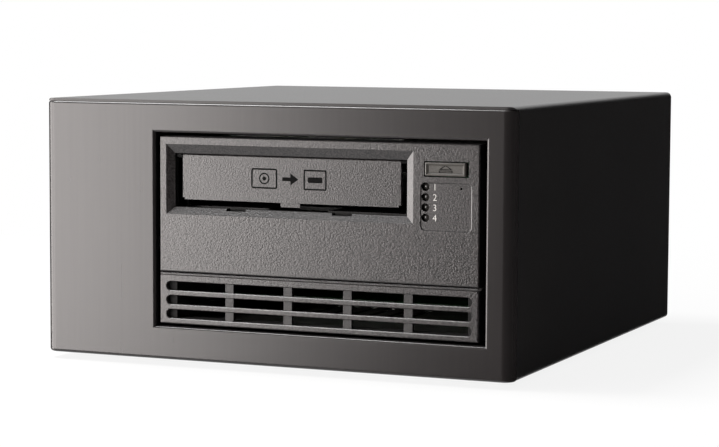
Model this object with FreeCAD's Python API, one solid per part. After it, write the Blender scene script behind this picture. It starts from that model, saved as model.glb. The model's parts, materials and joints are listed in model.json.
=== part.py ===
"""External data tape drive: a desktop case that holds one full-height cartridge drive.

Millimetres, +Z up, front towards -Y, +X to the right of someone facing the front.
The origin is the centre of the overall box, on the table under the feet.
"""
import FreeCAD, Part
import math
import os

V = FreeCAD.Vector
X, Y, Z = V(1, 0, 0), V(0, 1, 0), V(0, 0, 1)

# ---------------------------------------------------------------- driving dimensions
# Case
case_width = 222.0
case_height = 114.0
case_depth = 237.0
sheet = 1.2                     # steel of cover, base and rear panel
foot_height = 3.0               # what shows of a foot under the case
foot_radius = 8.0
foot_inset_x = 26.0
foot_inset_y = 26.0
foot_plug_radius = 2.4
fit_gap = 0.1                   # side clearance of sheet parts that slide together

# Front panel
panel_thickness = 3.5
panel_corner = 5.0              # upright corners, seen from above
panel_top_edge = 1.2
panel_bottom_edge = 1.5
panel_return = 5.3              # depth of the full outline before the plug steps in
panel_plug = 9.0                # how far the plug reaches into the cover
panel_wall = 2.2
opening_edge = 1.2
boss_radius = 3.5
boss_hole_radius = 1.25

# Cover
cover_setback = 1.0             # top sheet's front edge behind the panel's face
cover_fold = 2.6                # outside radius of the two top folds
cover_hem_fold = 2.0            # outside radius of the two bottom folds
cover_hem = 9.0                 # width of the lips under the base
rear_lip = 9.0                  # width of the lip round the rear panel

# Drive bay
bezel_width = 149.0
bezel_height = 82.3
bezel_depth = 9.0
bezel_wall = 2.4
bezel_from_left = 57.5
bezel_from_bottom = 16.0
bezel_recess = 0.9
bay_gap_left = 2.1
bay_gap_right = 3.1
bay_gap_top = 1.6
bay_gap_bottom = 1.4

# Cartridge slot, measured from the bezel's lower left corner
slot_left = 3.1
slot_right = 119.5
slot_bottom = 48.3
slot_top = 78.95
slot_chamfer_side = 3.5
slot_chamfer_top = 4.0
slot_chamfer_bottom = 3.0
slot_chamfer_depth = 2.9
slot_ring_depth = 5.5
slot_ring_wall = 1.6
slot_notch_width = 9.3
slot_notch_drop = 1.0
slot_notch_spread = 49.9

# Slot door
door_thickness = 1.6
door_set_back = 3.0
door_side_gap = 3.2
door_bottom_gap = 3.4
door_top_gap = 0.25
door_tab_width = 9.2
door_tab_drop = 1.9
door_tab_set_back = 0.7
door_pin_radius = 0.6
door_pin_seat = 1.5
door_corner_nick = 0.9
door_wire = 0.18                # flat wire of the door's spring
pivot_clearance = 0.05

# Eject button, status lights and label field, from the bezel's lower left corner
label_left = 122.7
label_right = 145.7
label_bottom = 45.65
label_top = 66.0
label_radius = 2.2
label_recess = 0.5
label_slope = 0.45              # sloped rim of the label field
light_x = 124.9
light_heights = (64.1, 59.8, 55.5, 51.2)
light_radius = 1.65
light_clearance = 0.1
light_sink = 0.9                # crown of a light behind the label field
light_dome = 2.2
pinhole_x = 140.9
pinhole_z = 63.7
pinhole_radius = 0.5
button_left = 124.7
button_right = 142.7
button_bottom = 68.8
button_top = 74.4
button_clearance = 0.5
button_pocket_right = 144.2
button_proud = 0.3
button_travel = 1.2
button_depth = 3.2
button_frame = 0.7
button_slope = 0.7              # width of the dish's sloped walls
button_dish = 0.9
button_stem_radius = 1.5
switch_size = 6.0
switch_depth = 2.6
stem_reach = 0.7                # stem inside the switch when nobody pushes
front_board_thickness = 1.6

# Grille
grille_height = 22.6
grille_seam = 0.4
grille_bead = 0.75
grille_groove = 0.5
grille_groove_depth = 1.6
grille_tongue = 1.0             # seam strip beyond the bezel's right edge
vent_rows = (16.65, 10.5, 4.35)
vent_height = 4.0
vent_left = 3.2
vent_right = 146.0
vent_edge = 0.3                 # chamfer round each vent
rib_width = 3.9
rib_lefts = (31.4, 59.35, 87.3, 115.2)
rib_recess = 1.2
end_rib_lefts = (3.5, 143.7)
end_rib_recess = 2.0

# Drive body
drive_width = 146.0
drive_length = 198.0
drive_height = 81.5
cast_wall = 2.2
cast_floor = 3.0
cast_floor_z = 31.0             # mechanism floor above the drive's underside
drive_plate = 1.0
board_set_back = 45.0           # controller board behind the drive's front
bracket_flange = 11.0
bracket_lip = 8.0

# Cartridge (not modelled) and its loader
cartridge_width = 105.4
cartridge_length = 102.0
cartridge_height = 21.5
cartridge_slip = 0.15
tray_wall = 1.2
tray_gap = 0.5
tray_floor = 1.5
leader_corner = 14.0            # open rear right corner, where the tape's leader comes out
load_drop = 8.0
cam_travel = 10.0
cam_plate = 1.2
cam_pin_radius = 1.5
cam_clearance = 0.05
loader_gap = 0.6
rack_module = 0.8
pinion_teeth = 10
tooth_share = 0.82              # tooth width against half a pitch
mesh_gap = 0.1

# Reels
hub_radius = 22.0
flange_radius = 45.0
flange_thickness = 1.4
tape_width = 12.65
hub_wall = 4.0
hub_core = 5.5
reel_shaft_radius = 2.5
clutch_radius = 17.0
clutch_teeth = 24
supply_shaft_radius = 2.0

# Tape path
roller_radius = 6.0
roller_flange_radius = 8.0
roller_flange = 1.2
roller_pin_radius = 1.5
head_travel = 4.5
head_screw_radius = 2.0
head_rod_radius = 1.5
head_rod_spacing = 12.0

# Threader
leader_step = 2.8               # leader pin behind the cartridge
leader_inset = 1.0              # and in from its right side
leader_gap = 3.6                # grabber's centre to the tape's line at the heads
leader_seat = (11.5, 5.0)       # where the leader ends inside the take-up hub, from its centre
leader_slot = 6.8               # width of the slot through flange and hub
threader_lift = 2.4             # arm above the reel's flange

# Fan
fan_size = 60.0
fan_thickness = 20.0
fan_bore_radius = 28.6
fan_blade_radius = 27.8
fan_hub_radius = 13.0
fan_hole_pitch = 50.0
fan_blades = 7
fan_blade_sweep = 12.0          # width of a pitched blade seen from the rear
fan_blade_edge = 1.3
fan_x = 62.0
fan_z = 58.0
guard_wire = 1.3
guard_sides = 32

# Rear connections
inlet_x = -82.0
inlet_z = 38.0
inlet_screw_pitch = 40.0
power_switch_z = 86.0
rocker_throw = 20.0             # degrees from off to on
socket_x = -12.0
socket_heights = (42.0, 72.0)
socket_shell_width = 47.0
socket_shell_height = 8.8
socket_screw_pitch = 57.3
socket_body_depth = 14.0
jack_length = 6.0
jack_radius = 2.5
jack_thread_radius = 1.25
jack_thread_depth = 4.5

# ---------------------------------------------------------------- reference planes
total_depth = case_depth + jack_length - sheet
front_y = -total_depth / 2
case_rear_y = front_y + case_depth
rear_face_y = case_rear_y - sheet            # outer face of the rear panel
rear_inner_y = rear_face_y - sheet
half_width = case_width / 2
inner_half = half_width - sheet
bottom_z = foot_height
top_z = bottom_z + case_height
base_z = bottom_z + sheet                    # underside of the base sheet
base_top_z = base_z + sheet
cover_front_y = front_y + panel_return + fit_gap

bezel_x = -half_width + bezel_from_left
bezel_y = front_y + bezel_recess
bezel_z = bottom_z + bezel_from_bottom
bezel_back_y = bezel_y + bezel_depth

drive_x = bezel_x + (bezel_width - drive_width) / 2
drive_right_x = drive_x + drive_width
drive_z = bezel_z + (bezel_height - drive_height) / 2
drive_top_z = drive_z + drive_height
drive_rear_y = bezel_back_y + drive_length
wall_left_x = drive_x + cast_wall            # inner faces of the cast side walls
wall_right_x = drive_right_x - cast_wall
deck_z = drive_z + cast_floor_z + cast_floor # top of the mechanism floor

mouth_left = bezel_x + slot_left + slot_chamfer_side
mouth_right = bezel_x + slot_right - slot_chamfer_side
mouth_bottom = bezel_z + slot_bottom + slot_chamfer_bottom
mouth_top = bezel_z + slot_top - slot_chamfer_top
slot_mid_x = (mouth_left + mouth_right) / 2

door_axis_y = bezel_y + door_set_back + door_thickness / 2
door_axis_z = mouth_top - door_top_gap - door_thickness / 2

cartridge_left = slot_mid_x - cartridge_width / 2
cartridge_right = slot_mid_x + cartridge_width / 2
cartridge_z = mouth_bottom + cartridge_slip
cartridge_front_y = bezel_y + slot_ring_depth + 2.0
cartridge_rear_y = cartridge_front_y + cartridge_length
tape_mid_z = cartridge_z - load_drop + cartridge_height / 2

hub_y = (cartridge_front_y + cartridge_rear_y) / 2
reel_x = wall_left_x + flange_radius + 3.0
reel_y = cartridge_rear_y + flange_radius + 1.5
reel_low_z = tape_mid_z - tape_width / 2 - 0.5 - flange_thickness
reel_high_z = tape_mid_z + tape_width / 2 + 0.5

tray_left = cartridge_left - tray_gap - tray_wall
tray_right = cartridge_right + tray_gap + tray_wall
tray_z = cartridge_z - 0.1 - tray_floor
tray_front_y = bezel_back_y + 3.0
tray_rear_y = cartridge_rear_y - 0.5
cam_left_x = tray_left - loader_gap - cam_plate
cam_right_x = tray_right + loader_gap
guide_x = cam_right_x + cam_plate + loader_gap
pin_z = cartridge_z + 7.5
pin_ys = (hub_y - 29.0, hub_y + 26.0)

pinion_pitch_radius = rack_module * pinion_teeth / 2
pinion_y = hub_y
pinion_z = deck_z + pinion_pitch_radius + rack_module + 1.3
rack_pitch_z = pinion_z + pinion_pitch_radius + mesh_gap
tooth_pitch = math.pi * rack_module

head_x = wall_right_x - 6.2
head_y = reel_y - 10.0
roller_set_in = 2.5             # rollers beside the head, inward of its axis
roller_places = (
    (head_x - 8.0, head_y - 37.0),
    (head_x - roller_set_in, head_y - 19.0),
    (head_x - roller_set_in, head_y + 19.0),
    (head_x - 12.0, head_y + 40.0),
)
tape_line_x = head_x - roller_set_in - roller_radius
threader_z = reel_high_z + flange_thickness + threader_lift


def threader_circle():
    """Arc of the grabber: from the cartridge's corner, past the heads, into the take-up hub.

    The circle passes through both ends and touches a line just inside the tape's line.
    """
    limit = tape_line_x - leader_gap
    start = (cartridge_right - leader_inset, cartridge_rear_y + leader_step)
    end = (reel_x + leader_seat[0], reel_y + leader_seat[1])
    a, b = limit - start[0], limit - end[0]
    k = b / a
    half = k * start[1] - end[1]
    rest = k * start[1] ** 2 - end[1] ** 2 + k * a ** 2 - b ** 2
    y = (half + math.sqrt(half ** 2 - (k - 1) * rest)) / (k - 1)
    radius = ((y - start[1]) ** 2 + a ** 2) / (2 * a)
    x = limit - radius
    angles = [math.degrees(math.atan2(point[1] - y, point[0] - x)) for point in (start, end)]
    return x, y, radius, angles[0], angles[1]


threader_x, threader_y, threader_radius, threader_rest_angle, threader_end_angle = threader_circle()


# ---------------------------------------------------------------- shape helpers
def box(x0, x1, y0, y1, z0, z1):
    """Block between two opposite corners."""
    return Part.makeBox(x1 - x0, y1 - y0, z1 - z0, V(x0, y0, z0))


def rod(start, axis, radius, length):
    """Solid cylinder from a point along an axis."""
    return Part.makeCylinder(radius, length, V(*start), axis)


def facet_rod(start, axis, radius, length, sides):
    """Many-sided rod whose corners lie on the radius, for small repeated parts."""
    across = X if abs(axis.x) < 0.5 else Z
    other = axis.cross(across)
    corners = []
    for i in range(sides):
        angle = 2 * math.pi * (i + 0.5) / sides
        corners.append(V(*start) + across * (radius * math.cos(angle)) + other * (radius * math.sin(angle)))
    return prism(corners, axis * length)


def tube(start, axis, outer, inner, length):
    """Hollow cylinder from a point along an axis."""
    return rod(start, axis, outer, length).cut(rod(start, axis, inner, length))


def prism(points, sweep):
    """Polygon through the points, pushed along a vector."""
    corners = [V(*point) for point in points]
    return Part.Face(Part.makePolygon(corners + corners[:1])).extrude(sweep)


def round_bar(x0, x1, y0, y1, z_mid, height):
    """Slot-shaped bar with full round ends, lying along X and pushed along Y."""
    radius = height / 2
    left = x0 + radius
    right = x1 - radius
    low, high = z_mid - radius, z_mid + radius
    edges = [
        Part.LineSegment(V(left, y0, low), V(right, y0, low)).toShape(),
        Part.Arc(V(right, y0, low), V(x1, y0, z_mid), V(right, y0, high)).toShape(),
        Part.LineSegment(V(right, y0, high), V(left, y0, high)).toShape(),
        Part.Arc(V(left, y0, high), V(x0, y0, z_mid), V(left, y0, low)).toShape(),
    ]
    return Part.Face(Part.Wire(edges)).extrude(V(0, y1 - y0, 0))


def turned(points, centre):
    """Profile of (radius, z) points turned about an upright axis through the centre."""
    corners = [V(centre[0] + radius, centre[1], z) for radius, z in points]
    face = Part.Face(Part.makePolygon(corners + corners[:1]))
    return face.revolve(V(centre[0], centre[1], 0), Z, 360)


def fuse(shapes):
    """One shape from several that touch or overlap."""
    joined = shapes[0]
    for shape in shapes[1:]:
        joined = joined.fuse(shape)
    return joined.removeSplitter()


def cut(shape, tools):
    """The shape with every tool taken away."""
    for tool in tools:
        shape = shape.cut(tool)
    return shape


def rounded(shape, radius, keep):
    """Fillet on every straight or curved edge that the test accepts."""
    edges = [edge for edge in shape.Edges if keep(edge)]
    return shape.makeFillet(radius, edges)


def along(edge, direction):
    """True for a straight edge parallel to the direction."""
    if not isinstance(edge.Curve, Part.Line):
        return False
    return abs(edge.Curve.Direction.dot(direction)) > 0.999


def near(value, target):
    """True when two lengths agree."""
    return abs(value - target) < 1e-4


def middle(edge):
    """Centre point of an edge."""
    return edge.BoundBox.Center


# ---------------------------------------------------------------- case
def bay_opening(y0, y1):
    """Rectangular hole in the front panel, a little larger than the bezel."""
    return box(bezel_x - bay_gap_left, bezel_x + bezel_width + bay_gap_right, y0, y1,
               bezel_z - bay_gap_bottom, bezel_z + bezel_height + bay_gap_top)


boss_places = [(side * (half_width - 22.0), bottom_z + 9.6) for side in (-1, 1)]
boss_end_y = front_y + panel_return + panel_plug


def fold_outline(y0, y1):
    """Block of the case's section with both top corners rounded like the cover's folds."""
    block = box(-half_width, half_width, y0, y1, bottom_z, top_z)
    return rounded(block, cover_fold, lambda e: along(e, Y) and middle(e).z > top_z - 1)


def front_panel():
    """Moulded front with soft upright corners and a plug that slides into the cover."""
    skin = box(-half_width, half_width, front_y, front_y + panel_return, bottom_z, top_z - sheet)
    skin = rounded(skin, panel_corner, lambda e: along(e, Z) and near(middle(e).y, front_y))
    skin = rounded(skin, panel_top_edge, lambda e: near(e.BoundBox.ZMin, top_z - sheet)
                   and near(e.BoundBox.ZMax, top_z - sheet) and middle(e).y < front_y + panel_return - 0.1)
    skin = rounded(skin, panel_bottom_edge, lambda e: near(e.BoundBox.ZMax, bottom_z)
                   and near(e.BoundBox.ZMin, bottom_z) and middle(e).y < front_y + panel_return - 0.1)
    skin = skin.common(fold_outline(front_y, front_y + panel_return))
    plug_half = inner_half - sheet - 2 * fit_gap
    plug = box(-plug_half, plug_half, front_y + panel_return, boss_end_y,
               base_top_z + fit_gap, top_z - sheet - fit_gap)
    inside_half = plug_half - panel_wall
    hollow = box(-inside_half, inside_half, front_y + panel_thickness, boss_end_y + 1,
                 base_top_z + fit_gap + panel_wall, top_z - sheet - fit_gap - panel_wall)
    panel = fuse([skin, plug]).cut(hollow)
    bosses = [rod((x, front_y + panel_thickness, z), Y, boss_radius, boss_end_y - front_y - panel_thickness)
              for x, z in boss_places]
    holes = [rod((x, boss_end_y - 8.0, z), Y, boss_hole_radius, 9.0) for x, z in boss_places]
    panel = cut(fuse([panel] + bosses), [bay_opening(front_y - 1, front_y + panel_thickness + 1)] + holes)
    opening = bay_opening(front_y - 1, front_y + 1).BoundBox
    return rounded(panel, opening_edge, lambda e: near(e.BoundBox.YMin, front_y)
                   and near(e.BoundBox.YMax, front_y)
                   and e.BoundBox.XMin > opening.XMin - 0.1 and e.BoundBox.XMax < opening.XMax + 0.1
                   and e.BoundBox.ZMin > opening.ZMin - 0.1 and e.BoundBox.ZMax < opening.ZMax + 0.1)


def folded_shell(y0, y1):
    """Outer and inner faces of the folded cover as two blocks, running front to rear."""
    outer = fold_outline(y0, y1)
    outer = rounded(outer, cover_hem_fold, lambda e: along(e, Y) and near(e.BoundBox.ZMin, bottom_z)
                    and near(e.BoundBox.ZMax, bottom_z))
    inner = box(-inner_half, inner_half, y0, y1, bottom_z + sheet, top_z - sheet)
    inner = rounded(inner, cover_fold - sheet, lambda e: along(e, Y) and middle(e).z > top_z - sheet - 1)
    inner = rounded(inner, cover_hem_fold - sheet,
                    lambda e: along(e, Y) and middle(e).z < bottom_z + sheet + 1)
    return outer, inner


lid_screw_xs = (-half_width + 24.0, 0.0, half_width - 24.0)
side_screw_z = bottom_z + 30.0
lip_screw_inset = rear_lip / 2 + 0.8
lip_screws = [(x, top_z - lip_screw_inset) for x in lid_screw_xs]
lip_screws += [(side * (half_width - lip_screw_inset), side_screw_z) for side in (-1, 1)]
screw_radius = 1.5
screw_hole_radius = 1.7
screw_head_radius = 2.8
screw_head = 1.8
rear_screw_length = 8.0
inner_screw_length = 6.0


def top_cover():
    """Folded cover: top, two sides, lips under the base and a lip round the rear panel."""
    outer, inner = folded_shell(cover_front_y, case_rear_y)
    hollow = inner.copy()
    hollow.translate(V(0, -sheet, 0))
    under = half_width - cover_hem
    rear_window = box(-half_width + rear_lip, half_width - rear_lip, rear_face_y - 1, case_rear_y + 1,
                      bottom_z - 1, top_z - rear_lip)
    under_slot = box(-under, under, cover_front_y - 1, case_rear_y + 1, bottom_z - 1, base_top_z)
    shell = cut(outer, [hollow, rear_window, under_slot])
    strip = box(-half_width, half_width, front_y + cover_setback, cover_front_y, top_z - sheet, top_z)
    strip = rounded(strip, panel_corner - cover_setback,
                    lambda e: along(e, Z) and near(middle(e).y, front_y + cover_setback))
    strip = strip.common(fold_outline(front_y, cover_front_y))
    cover = fuse([shell, strip])
    holes = [rod((x, rear_face_y - 1, z), Y, screw_hole_radius, sheet + 2) for x, z in lip_screws]
    return cut(cover, holes)


foot_places = [(sx * (half_width - foot_inset_x), y) for sx in (-1, 1)
               for y in (front_y + foot_inset_y, case_rear_y - foot_inset_y)]
ear_width = 14.0
ear_rise = 5.5                  # above the boss's axis


def base_chassis():
    """Bottom sheet with turned-up sides, two front ears for the panel and a rear flange."""
    half = inner_half - fit_gap
    y0 = cover_front_y
    y1 = rear_inner_y - fit_gap
    floor = rounded(box(-half, half, y0, y1, base_z, base_top_z), cover_hem_fold - sheet,
                    lambda e: along(e, Y) and near(middle(e).z, base_z))
    walls = [box(min(s * half, s * (half - sheet)), max(s * half, s * (half - sheet)),
                 boss_end_y + sheet, y1 - rear_lip - 2, base_top_z, base_top_z + 10.0) for s in (-1, 1)]
    ears = []
    holes = []
    for x, z in boss_places:
        ears.append(box(x - ear_width / 2, x + ear_width / 2, boss_end_y, boss_end_y + sheet,
                        base_top_z, z + ear_rise))
        holes.append(rod((x, boss_end_y - 1, z), Y, screw_hole_radius, sheet + 2))
    for x, y in foot_places:
        holes.append(rod((x, y, base_z - 1), Z, foot_plug_radius + fit_gap, sheet + 2))
    return cut(fuse([floor] + walls + ears), holes)


def rear_panel():
    """Flat rear wall with four turned-in edges and the cut-outs for what it carries."""
    half = inner_half - sheet - 2 * fit_gap
    z0 = base_top_z
    z1 = top_z - sheet - fit_gap
    wall = box(-half, half, rear_inner_y, rear_face_y, z0, z1)
    flange = rear_lip
    edges = [
        box(-half, half, rear_inner_y - flange, rear_inner_y, z0, z0 + sheet),
        box(-half, half, rear_inner_y - flange, rear_inner_y, z1 - sheet, z1),
    ]
    for side in (-1, 1):
        near_x, far_x = sorted((side * half, side * (half - sheet)))
        edges.append(box(near_x, far_x, rear_inner_y - flange, rear_inner_y, z0, z1))
    through = (rear_inner_y - 1, rear_face_y + 1)
    tools = [rod((fan_x, through[0], fan_z), Y, fan_bore_radius, sheet + 2)]
    tools += [rod((x, through[0], z), Y, screw_hole_radius, sheet + 2) for x, z in fan_screw_places()]
    tools += [rod((x, through[0], z), Y, screw_hole_radius, sheet + 2) for x, z in lip_screws]
    tools.append(box(inlet_x - 10.2, inlet_x + 10.2, *through, inlet_z - 14.2, inlet_z + 14.2))
    tools += [rod((inlet_x, through[0], inlet_z + s * inlet_screw_pitch / 2), Y, screw_hole_radius, sheet + 2)
              for s in (-1, 1)]
    tools.append(box(inlet_x - 6.5, inlet_x + 6.5, *through, power_switch_z - 9.7, power_switch_z + 9.7))
    for z in socket_heights:
        tools.append(box(socket_x - socket_shell_width / 2 - 0.4, socket_x + socket_shell_width / 2 + 0.4,
                         *through, z - socket_shell_height / 2 - 0.4, z + socket_shell_height / 2 + 0.4))
        tools += [rod((socket_x + s * socket_screw_pitch / 2, through[0], z), Y, screw_hole_radius, sheet + 2)
                  for s in (-1, 1)]
    return cut(fuse([wall] + edges), tools)


def rubber_feet():
    """Four round feet, each with a plug pressed through the base sheet."""
    feet = []
    for x, y in foot_places:
        foot = turned([(0, 0), (foot_radius - 1.0, 0), (foot_radius, 1.0), (foot_radius, base_z),
                       (foot_plug_radius, base_z), (foot_plug_radius, base_top_z), (0, base_top_z)], (x, y))
        foot = foot.fuse(facet_rod((x, y, base_top_z), Z, foot_plug_radius + 0.8, 1.5, 12))
        feet.append(foot)
    return feet


def screw(place, direction, grip):
    """Pan-head screw whose head seats at the place and whose shank runs along the direction."""
    axis = V(*direction)
    head = facet_rod(V(*place) - axis * screw_head, axis, screw_head_radius, screw_head, 16)
    shank = facet_rod(place, axis, screw_radius - 0.3, grip, 8)
    return head.fuse(shank)


def rear_screws():
    """Screws seen on the rear: cover lip, fan guard corners and power inlet."""
    seats = [(x, case_rear_y, z) for x, z in lip_screws]
    seats += [(x, rear_face_y + guard_wire, z) for x, z in fan_screw_places()]
    seats += [(inlet_x, rear_face_y + inlet_flange, inlet_z + s * inlet_screw_pitch / 2) for s in (-1, 1)]
    return [screw(seat, (0, -1, 0), rear_screw_length) for seat in seats]


def inner_screws():
    """Screws inside: base ears to the front panel's bosses, brackets to the drive's flanks."""
    screws = [screw((x, boss_end_y + sheet, z), (0, -1, 0), inner_screw_length) for x, z in boss_places]
    for side, flank in ((-1, drive_x), (1, drive_right_x)):
        screws += [screw((flank + side * sheet, y, bracket_screw_z), (-side, 0, 0), inner_screw_length)
                   for y in bracket_ys]
    return screws


# ---------------------------------------------------------------- drive brackets
bracket_ys = (bezel_back_y + 30.0, bezel_back_y + 150.0)
bracket_front_y = bezel_back_y + 12.0
bracket_rear_y = drive_rear_y - 12.0
bracket_screw_z = drive_z + 10.0


def drive_bracket(side):
    """Rail beside the drive: a wall against its flank, a foot on the base and a lip under it."""
    flank = drive_x if side < 0 else drive_right_x
    wall = sorted((flank, flank + side * sheet))
    foot = sorted((flank, flank + side * bracket_flange))
    lip = sorted((flank + side * sheet, flank - side * bracket_lip))
    top = drive_z + 26.0
    shape = fuse([
        box(*wall, bracket_front_y, bracket_rear_y, base_top_z, top),
        box(*foot, bracket_front_y, bracket_rear_y, base_top_z, base_top_z + sheet),
        box(*lip, bracket_front_y, bracket_rear_y, drive_z - sheet, drive_z),
    ])
    holes = [rod((flank - side * 1.0, y, bracket_screw_z), X * side, screw_hole_radius, sheet + 2)
             for y in bracket_ys]
    windows = [box(wall[0] - 1, wall[1] + 1, bracket_front_y + 40.0, bracket_rear_y - 40.0,
                   base_top_z + 4.0, drive_z - sheet - 2.5)]
    return cut(shape, holes + windows)


# ---------------------------------------------------------------- power supply
psu_x0 = -half_width + sheet + 6.0
psu_x1 = drive_x - sheet - bracket_flange - 1.0
psu_y0 = front_y + 62.0
psu_y1 = psu_y0 + 130.0
psu_standoff = 6.0
psu_board_z = base_top_z + sheet + psu_standoff
psu_board_t = 1.6
psu_part_z = psu_board_z + psu_board_t


def psu_bracket():
    """Angle plate on the base with four posts under the supply's board."""
    plate = box(psu_x0, psu_x1, psu_y0, psu_y1, base_top_z, base_top_z + sheet)
    wall = box(psu_x0, psu_x0 + sheet, psu_y0, psu_y1, base_top_z, base_top_z + 42.0)
    slots = [box(psu_x0 - 1, psu_x0 + sheet + 1, psu_y0 + 14.0 + 13.0 * i, psu_y0 + 22.0 + 13.0 * i,
                 base_top_z + 20.0, base_top_z + 36.0) for i in range(8)]
    posts = [rod((x, y, base_top_z + sheet), Z, 2.5, psu_standoff)
             for x in (psu_x0 + 7.0, psu_x1 - 5.0) for y in (psu_y0 + 5.0, psu_y1 - 5.0)]
    return cut(fuse([plate, wall] + posts), slots)


def psu_board():
    """Circuit board of the supply."""
    return box(psu_x0 + 3.0, psu_x1 - 1.0, psu_y0 + 1.0, psu_y1 - 1.0, psu_board_z, psu_part_z)


def psu_transformer():
    """Laminated core with its wound bobbin."""
    y = psu_y0 + 68.0
    x = (psu_x0 + psu_x1) / 2
    core = box(x - 11.0, x + 11.0, y - 15.0, y + 15.0, psu_part_z, psu_part_z + 24.0)
    windows = [box(x - 12.0, x + 12.0, y + s * 8.0 - 4.0, y + s * 8.0 + 4.0,
                   psu_part_z + 4.0, psu_part_z + 20.0) for s in (-1, 1)]
    coil = rounded(box(x - 15.0, x + 15.0, y - 11.8, y + 11.8, psu_part_z + 4.2, psu_part_z + 19.8), 3.0,
                   lambda e: along(e, Z))
    return fuse([cut(core, windows), coil])


def psu_capacitors():
    """Two upright reservoir capacitors."""
    x = (psu_x0 + psu_x1) / 2
    return [rod((x, psu_y0 + y, psu_part_z), Z, 9.0, 30.0) for y in (18.0, 40.0)]


def psu_heatsinks():
    """Two finned heat sinks standing on the board."""
    sinks = []
    for y in (psu_y0 + 92.0, psu_y0 + 110.0):
        back = box(psu_x0 + 6.0, psu_x1 - 4.0, y, y + 2.0, psu_part_z, psu_part_z + 28.0)
        fins = [box(psu_x0 + 6.0 + 4.4 * i, psu_x0 + 7.2 + 4.4 * i, y + 2.0, y + 9.0,
                    psu_part_z + 4.0, psu_part_z + 28.0) for i in range(7)]
        sinks.append(fuse([back] + fins))
    return sinks


# ---------------------------------------------------------------- rear connections
inlet_half_x = 11.0
inlet_half_z = 24.0
inlet_flange = 2.6
inlet_body_x = 10.0
inlet_body_z = 13.8
inlet_cavity_x = 8.2
inlet_cavity_z = 11.9
inlet_cavity_depth = 15.5
inlet_body_depth = 20.0
blade_reach = 12.5


def inlet_outline(half_x, half_z, corner, y0, y1):
    """Upright socket outline with two corners cut off on its left side."""
    x0, x1 = inlet_x - half_x, inlet_x + half_x
    z0, z1 = inlet_z - half_z, inlet_z + half_z
    points = [(x0 + corner, y0, z0), (x1, y0, z0), (x1, y0, z1), (x0 + corner, y0, z1),
              (x0, y0, z1 - corner), (x0, y0, z0 + corner)]
    return prism(points, V(0, y1 - y0, 0))


def power_inlet():
    """Mains inlet: flange on the rear panel, body through it and a deep keyed socket."""
    flange = rounded(box(inlet_x - inlet_half_x, inlet_x + inlet_half_x, rear_face_y,
                         rear_face_y + inlet_flange, inlet_z - inlet_half_z, inlet_z + inlet_half_z), 3.0,
                     lambda e: along(e, Y))
    body = box(inlet_x - inlet_body_x, inlet_x + inlet_body_x,
               rear_face_y - inlet_body_depth, rear_face_y, inlet_z - inlet_body_z, inlet_z + inlet_body_z)
    cavity = inlet_outline(inlet_cavity_x, inlet_cavity_z, 4.0,
                           rear_face_y + inlet_flange - inlet_cavity_depth, rear_face_y + inlet_flange + 1)
    holes = [rod((inlet_x, rear_face_y - 1, inlet_z + s * inlet_screw_pitch / 2), Y, screw_hole_radius,
                 inlet_flange + 2) for s in (-1, 1)]
    return cut(fuse([flange, body]), [cavity] + holes)


def inlet_blades():
    """Three contact blades standing in the inlet's socket."""
    floor_y = rear_face_y + inlet_flange - inlet_cavity_depth
    places = ((inlet_x + 2.5, inlet_z - 7.0), (inlet_x + 2.5, inlet_z + 7.0), (inlet_x - 1.5, inlet_z))
    return [box(x - 2.0, x + 2.0, floor_y, floor_y + blade_reach, z - 1.0, z + 1.0) for x, z in places]


rocker_half_x = 4.6
rocker_half_z = 7.6
rocker_axis_y = rear_face_y - 2.0
switch_body_depth = 16.0


def power_switch():
    """Body of the power switch: a flanged box with the rocker's well."""
    flange = box(inlet_x - 7.5, inlet_x + 7.5, rear_face_y, rear_face_y + 1.8,
                 power_switch_z - 10.5, power_switch_z + 10.5)
    flange = rounded(flange, 1.5, lambda e: along(e, Y))
    body = box(inlet_x - 6.3, inlet_x + 6.3, rear_face_y - switch_body_depth, rear_face_y,
               power_switch_z - 9.5, power_switch_z + 9.5)
    well = box(inlet_x - rocker_half_x - 0.3, inlet_x + rocker_half_x + 0.3,
               rear_face_y - 11.0, rear_face_y + 3.0,
               power_switch_z - rocker_half_z - 0.5, power_switch_z + rocker_half_z + 0.5)
    pivots = rod((inlet_x - 5.6, rocker_axis_y, power_switch_z), X, 1.0 + pivot_clearance, 11.2)
    return cut(fuse([flange, body]), [well, pivots])


def power_rocker():
    """Rocker in its off position: two faces meeting in a shallow valley, on stub pivots."""
    half_turn = math.radians(rocker_throw / 2)
    outline = []
    for step in range(5):
        angle = math.radians(-60 + 30 * step)
        outline.append((rocker_half_z * math.sin(angle), 1.0 - 5.0 * math.cos(angle)))
    profile = [(-rocker_half_z, 3.2), (0.0, 1.6), (rocker_half_z, 3.2)] + outline[::-1]
    turn = -half_turn
    points = []
    for along_z, out in profile:
        z = along_z * math.cos(turn) - out * math.sin(turn)
        y = along_z * math.sin(turn) + out * math.cos(turn)
        points.append((inlet_x - rocker_half_x, rocker_axis_y + y, power_switch_z + z))
    paddle = prism(points, V(2 * rocker_half_x, 0, 0))
    return fuse([paddle, rod((inlet_x - 5.4, rocker_axis_y, power_switch_z), X, 1.0, 10.8)])


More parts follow.
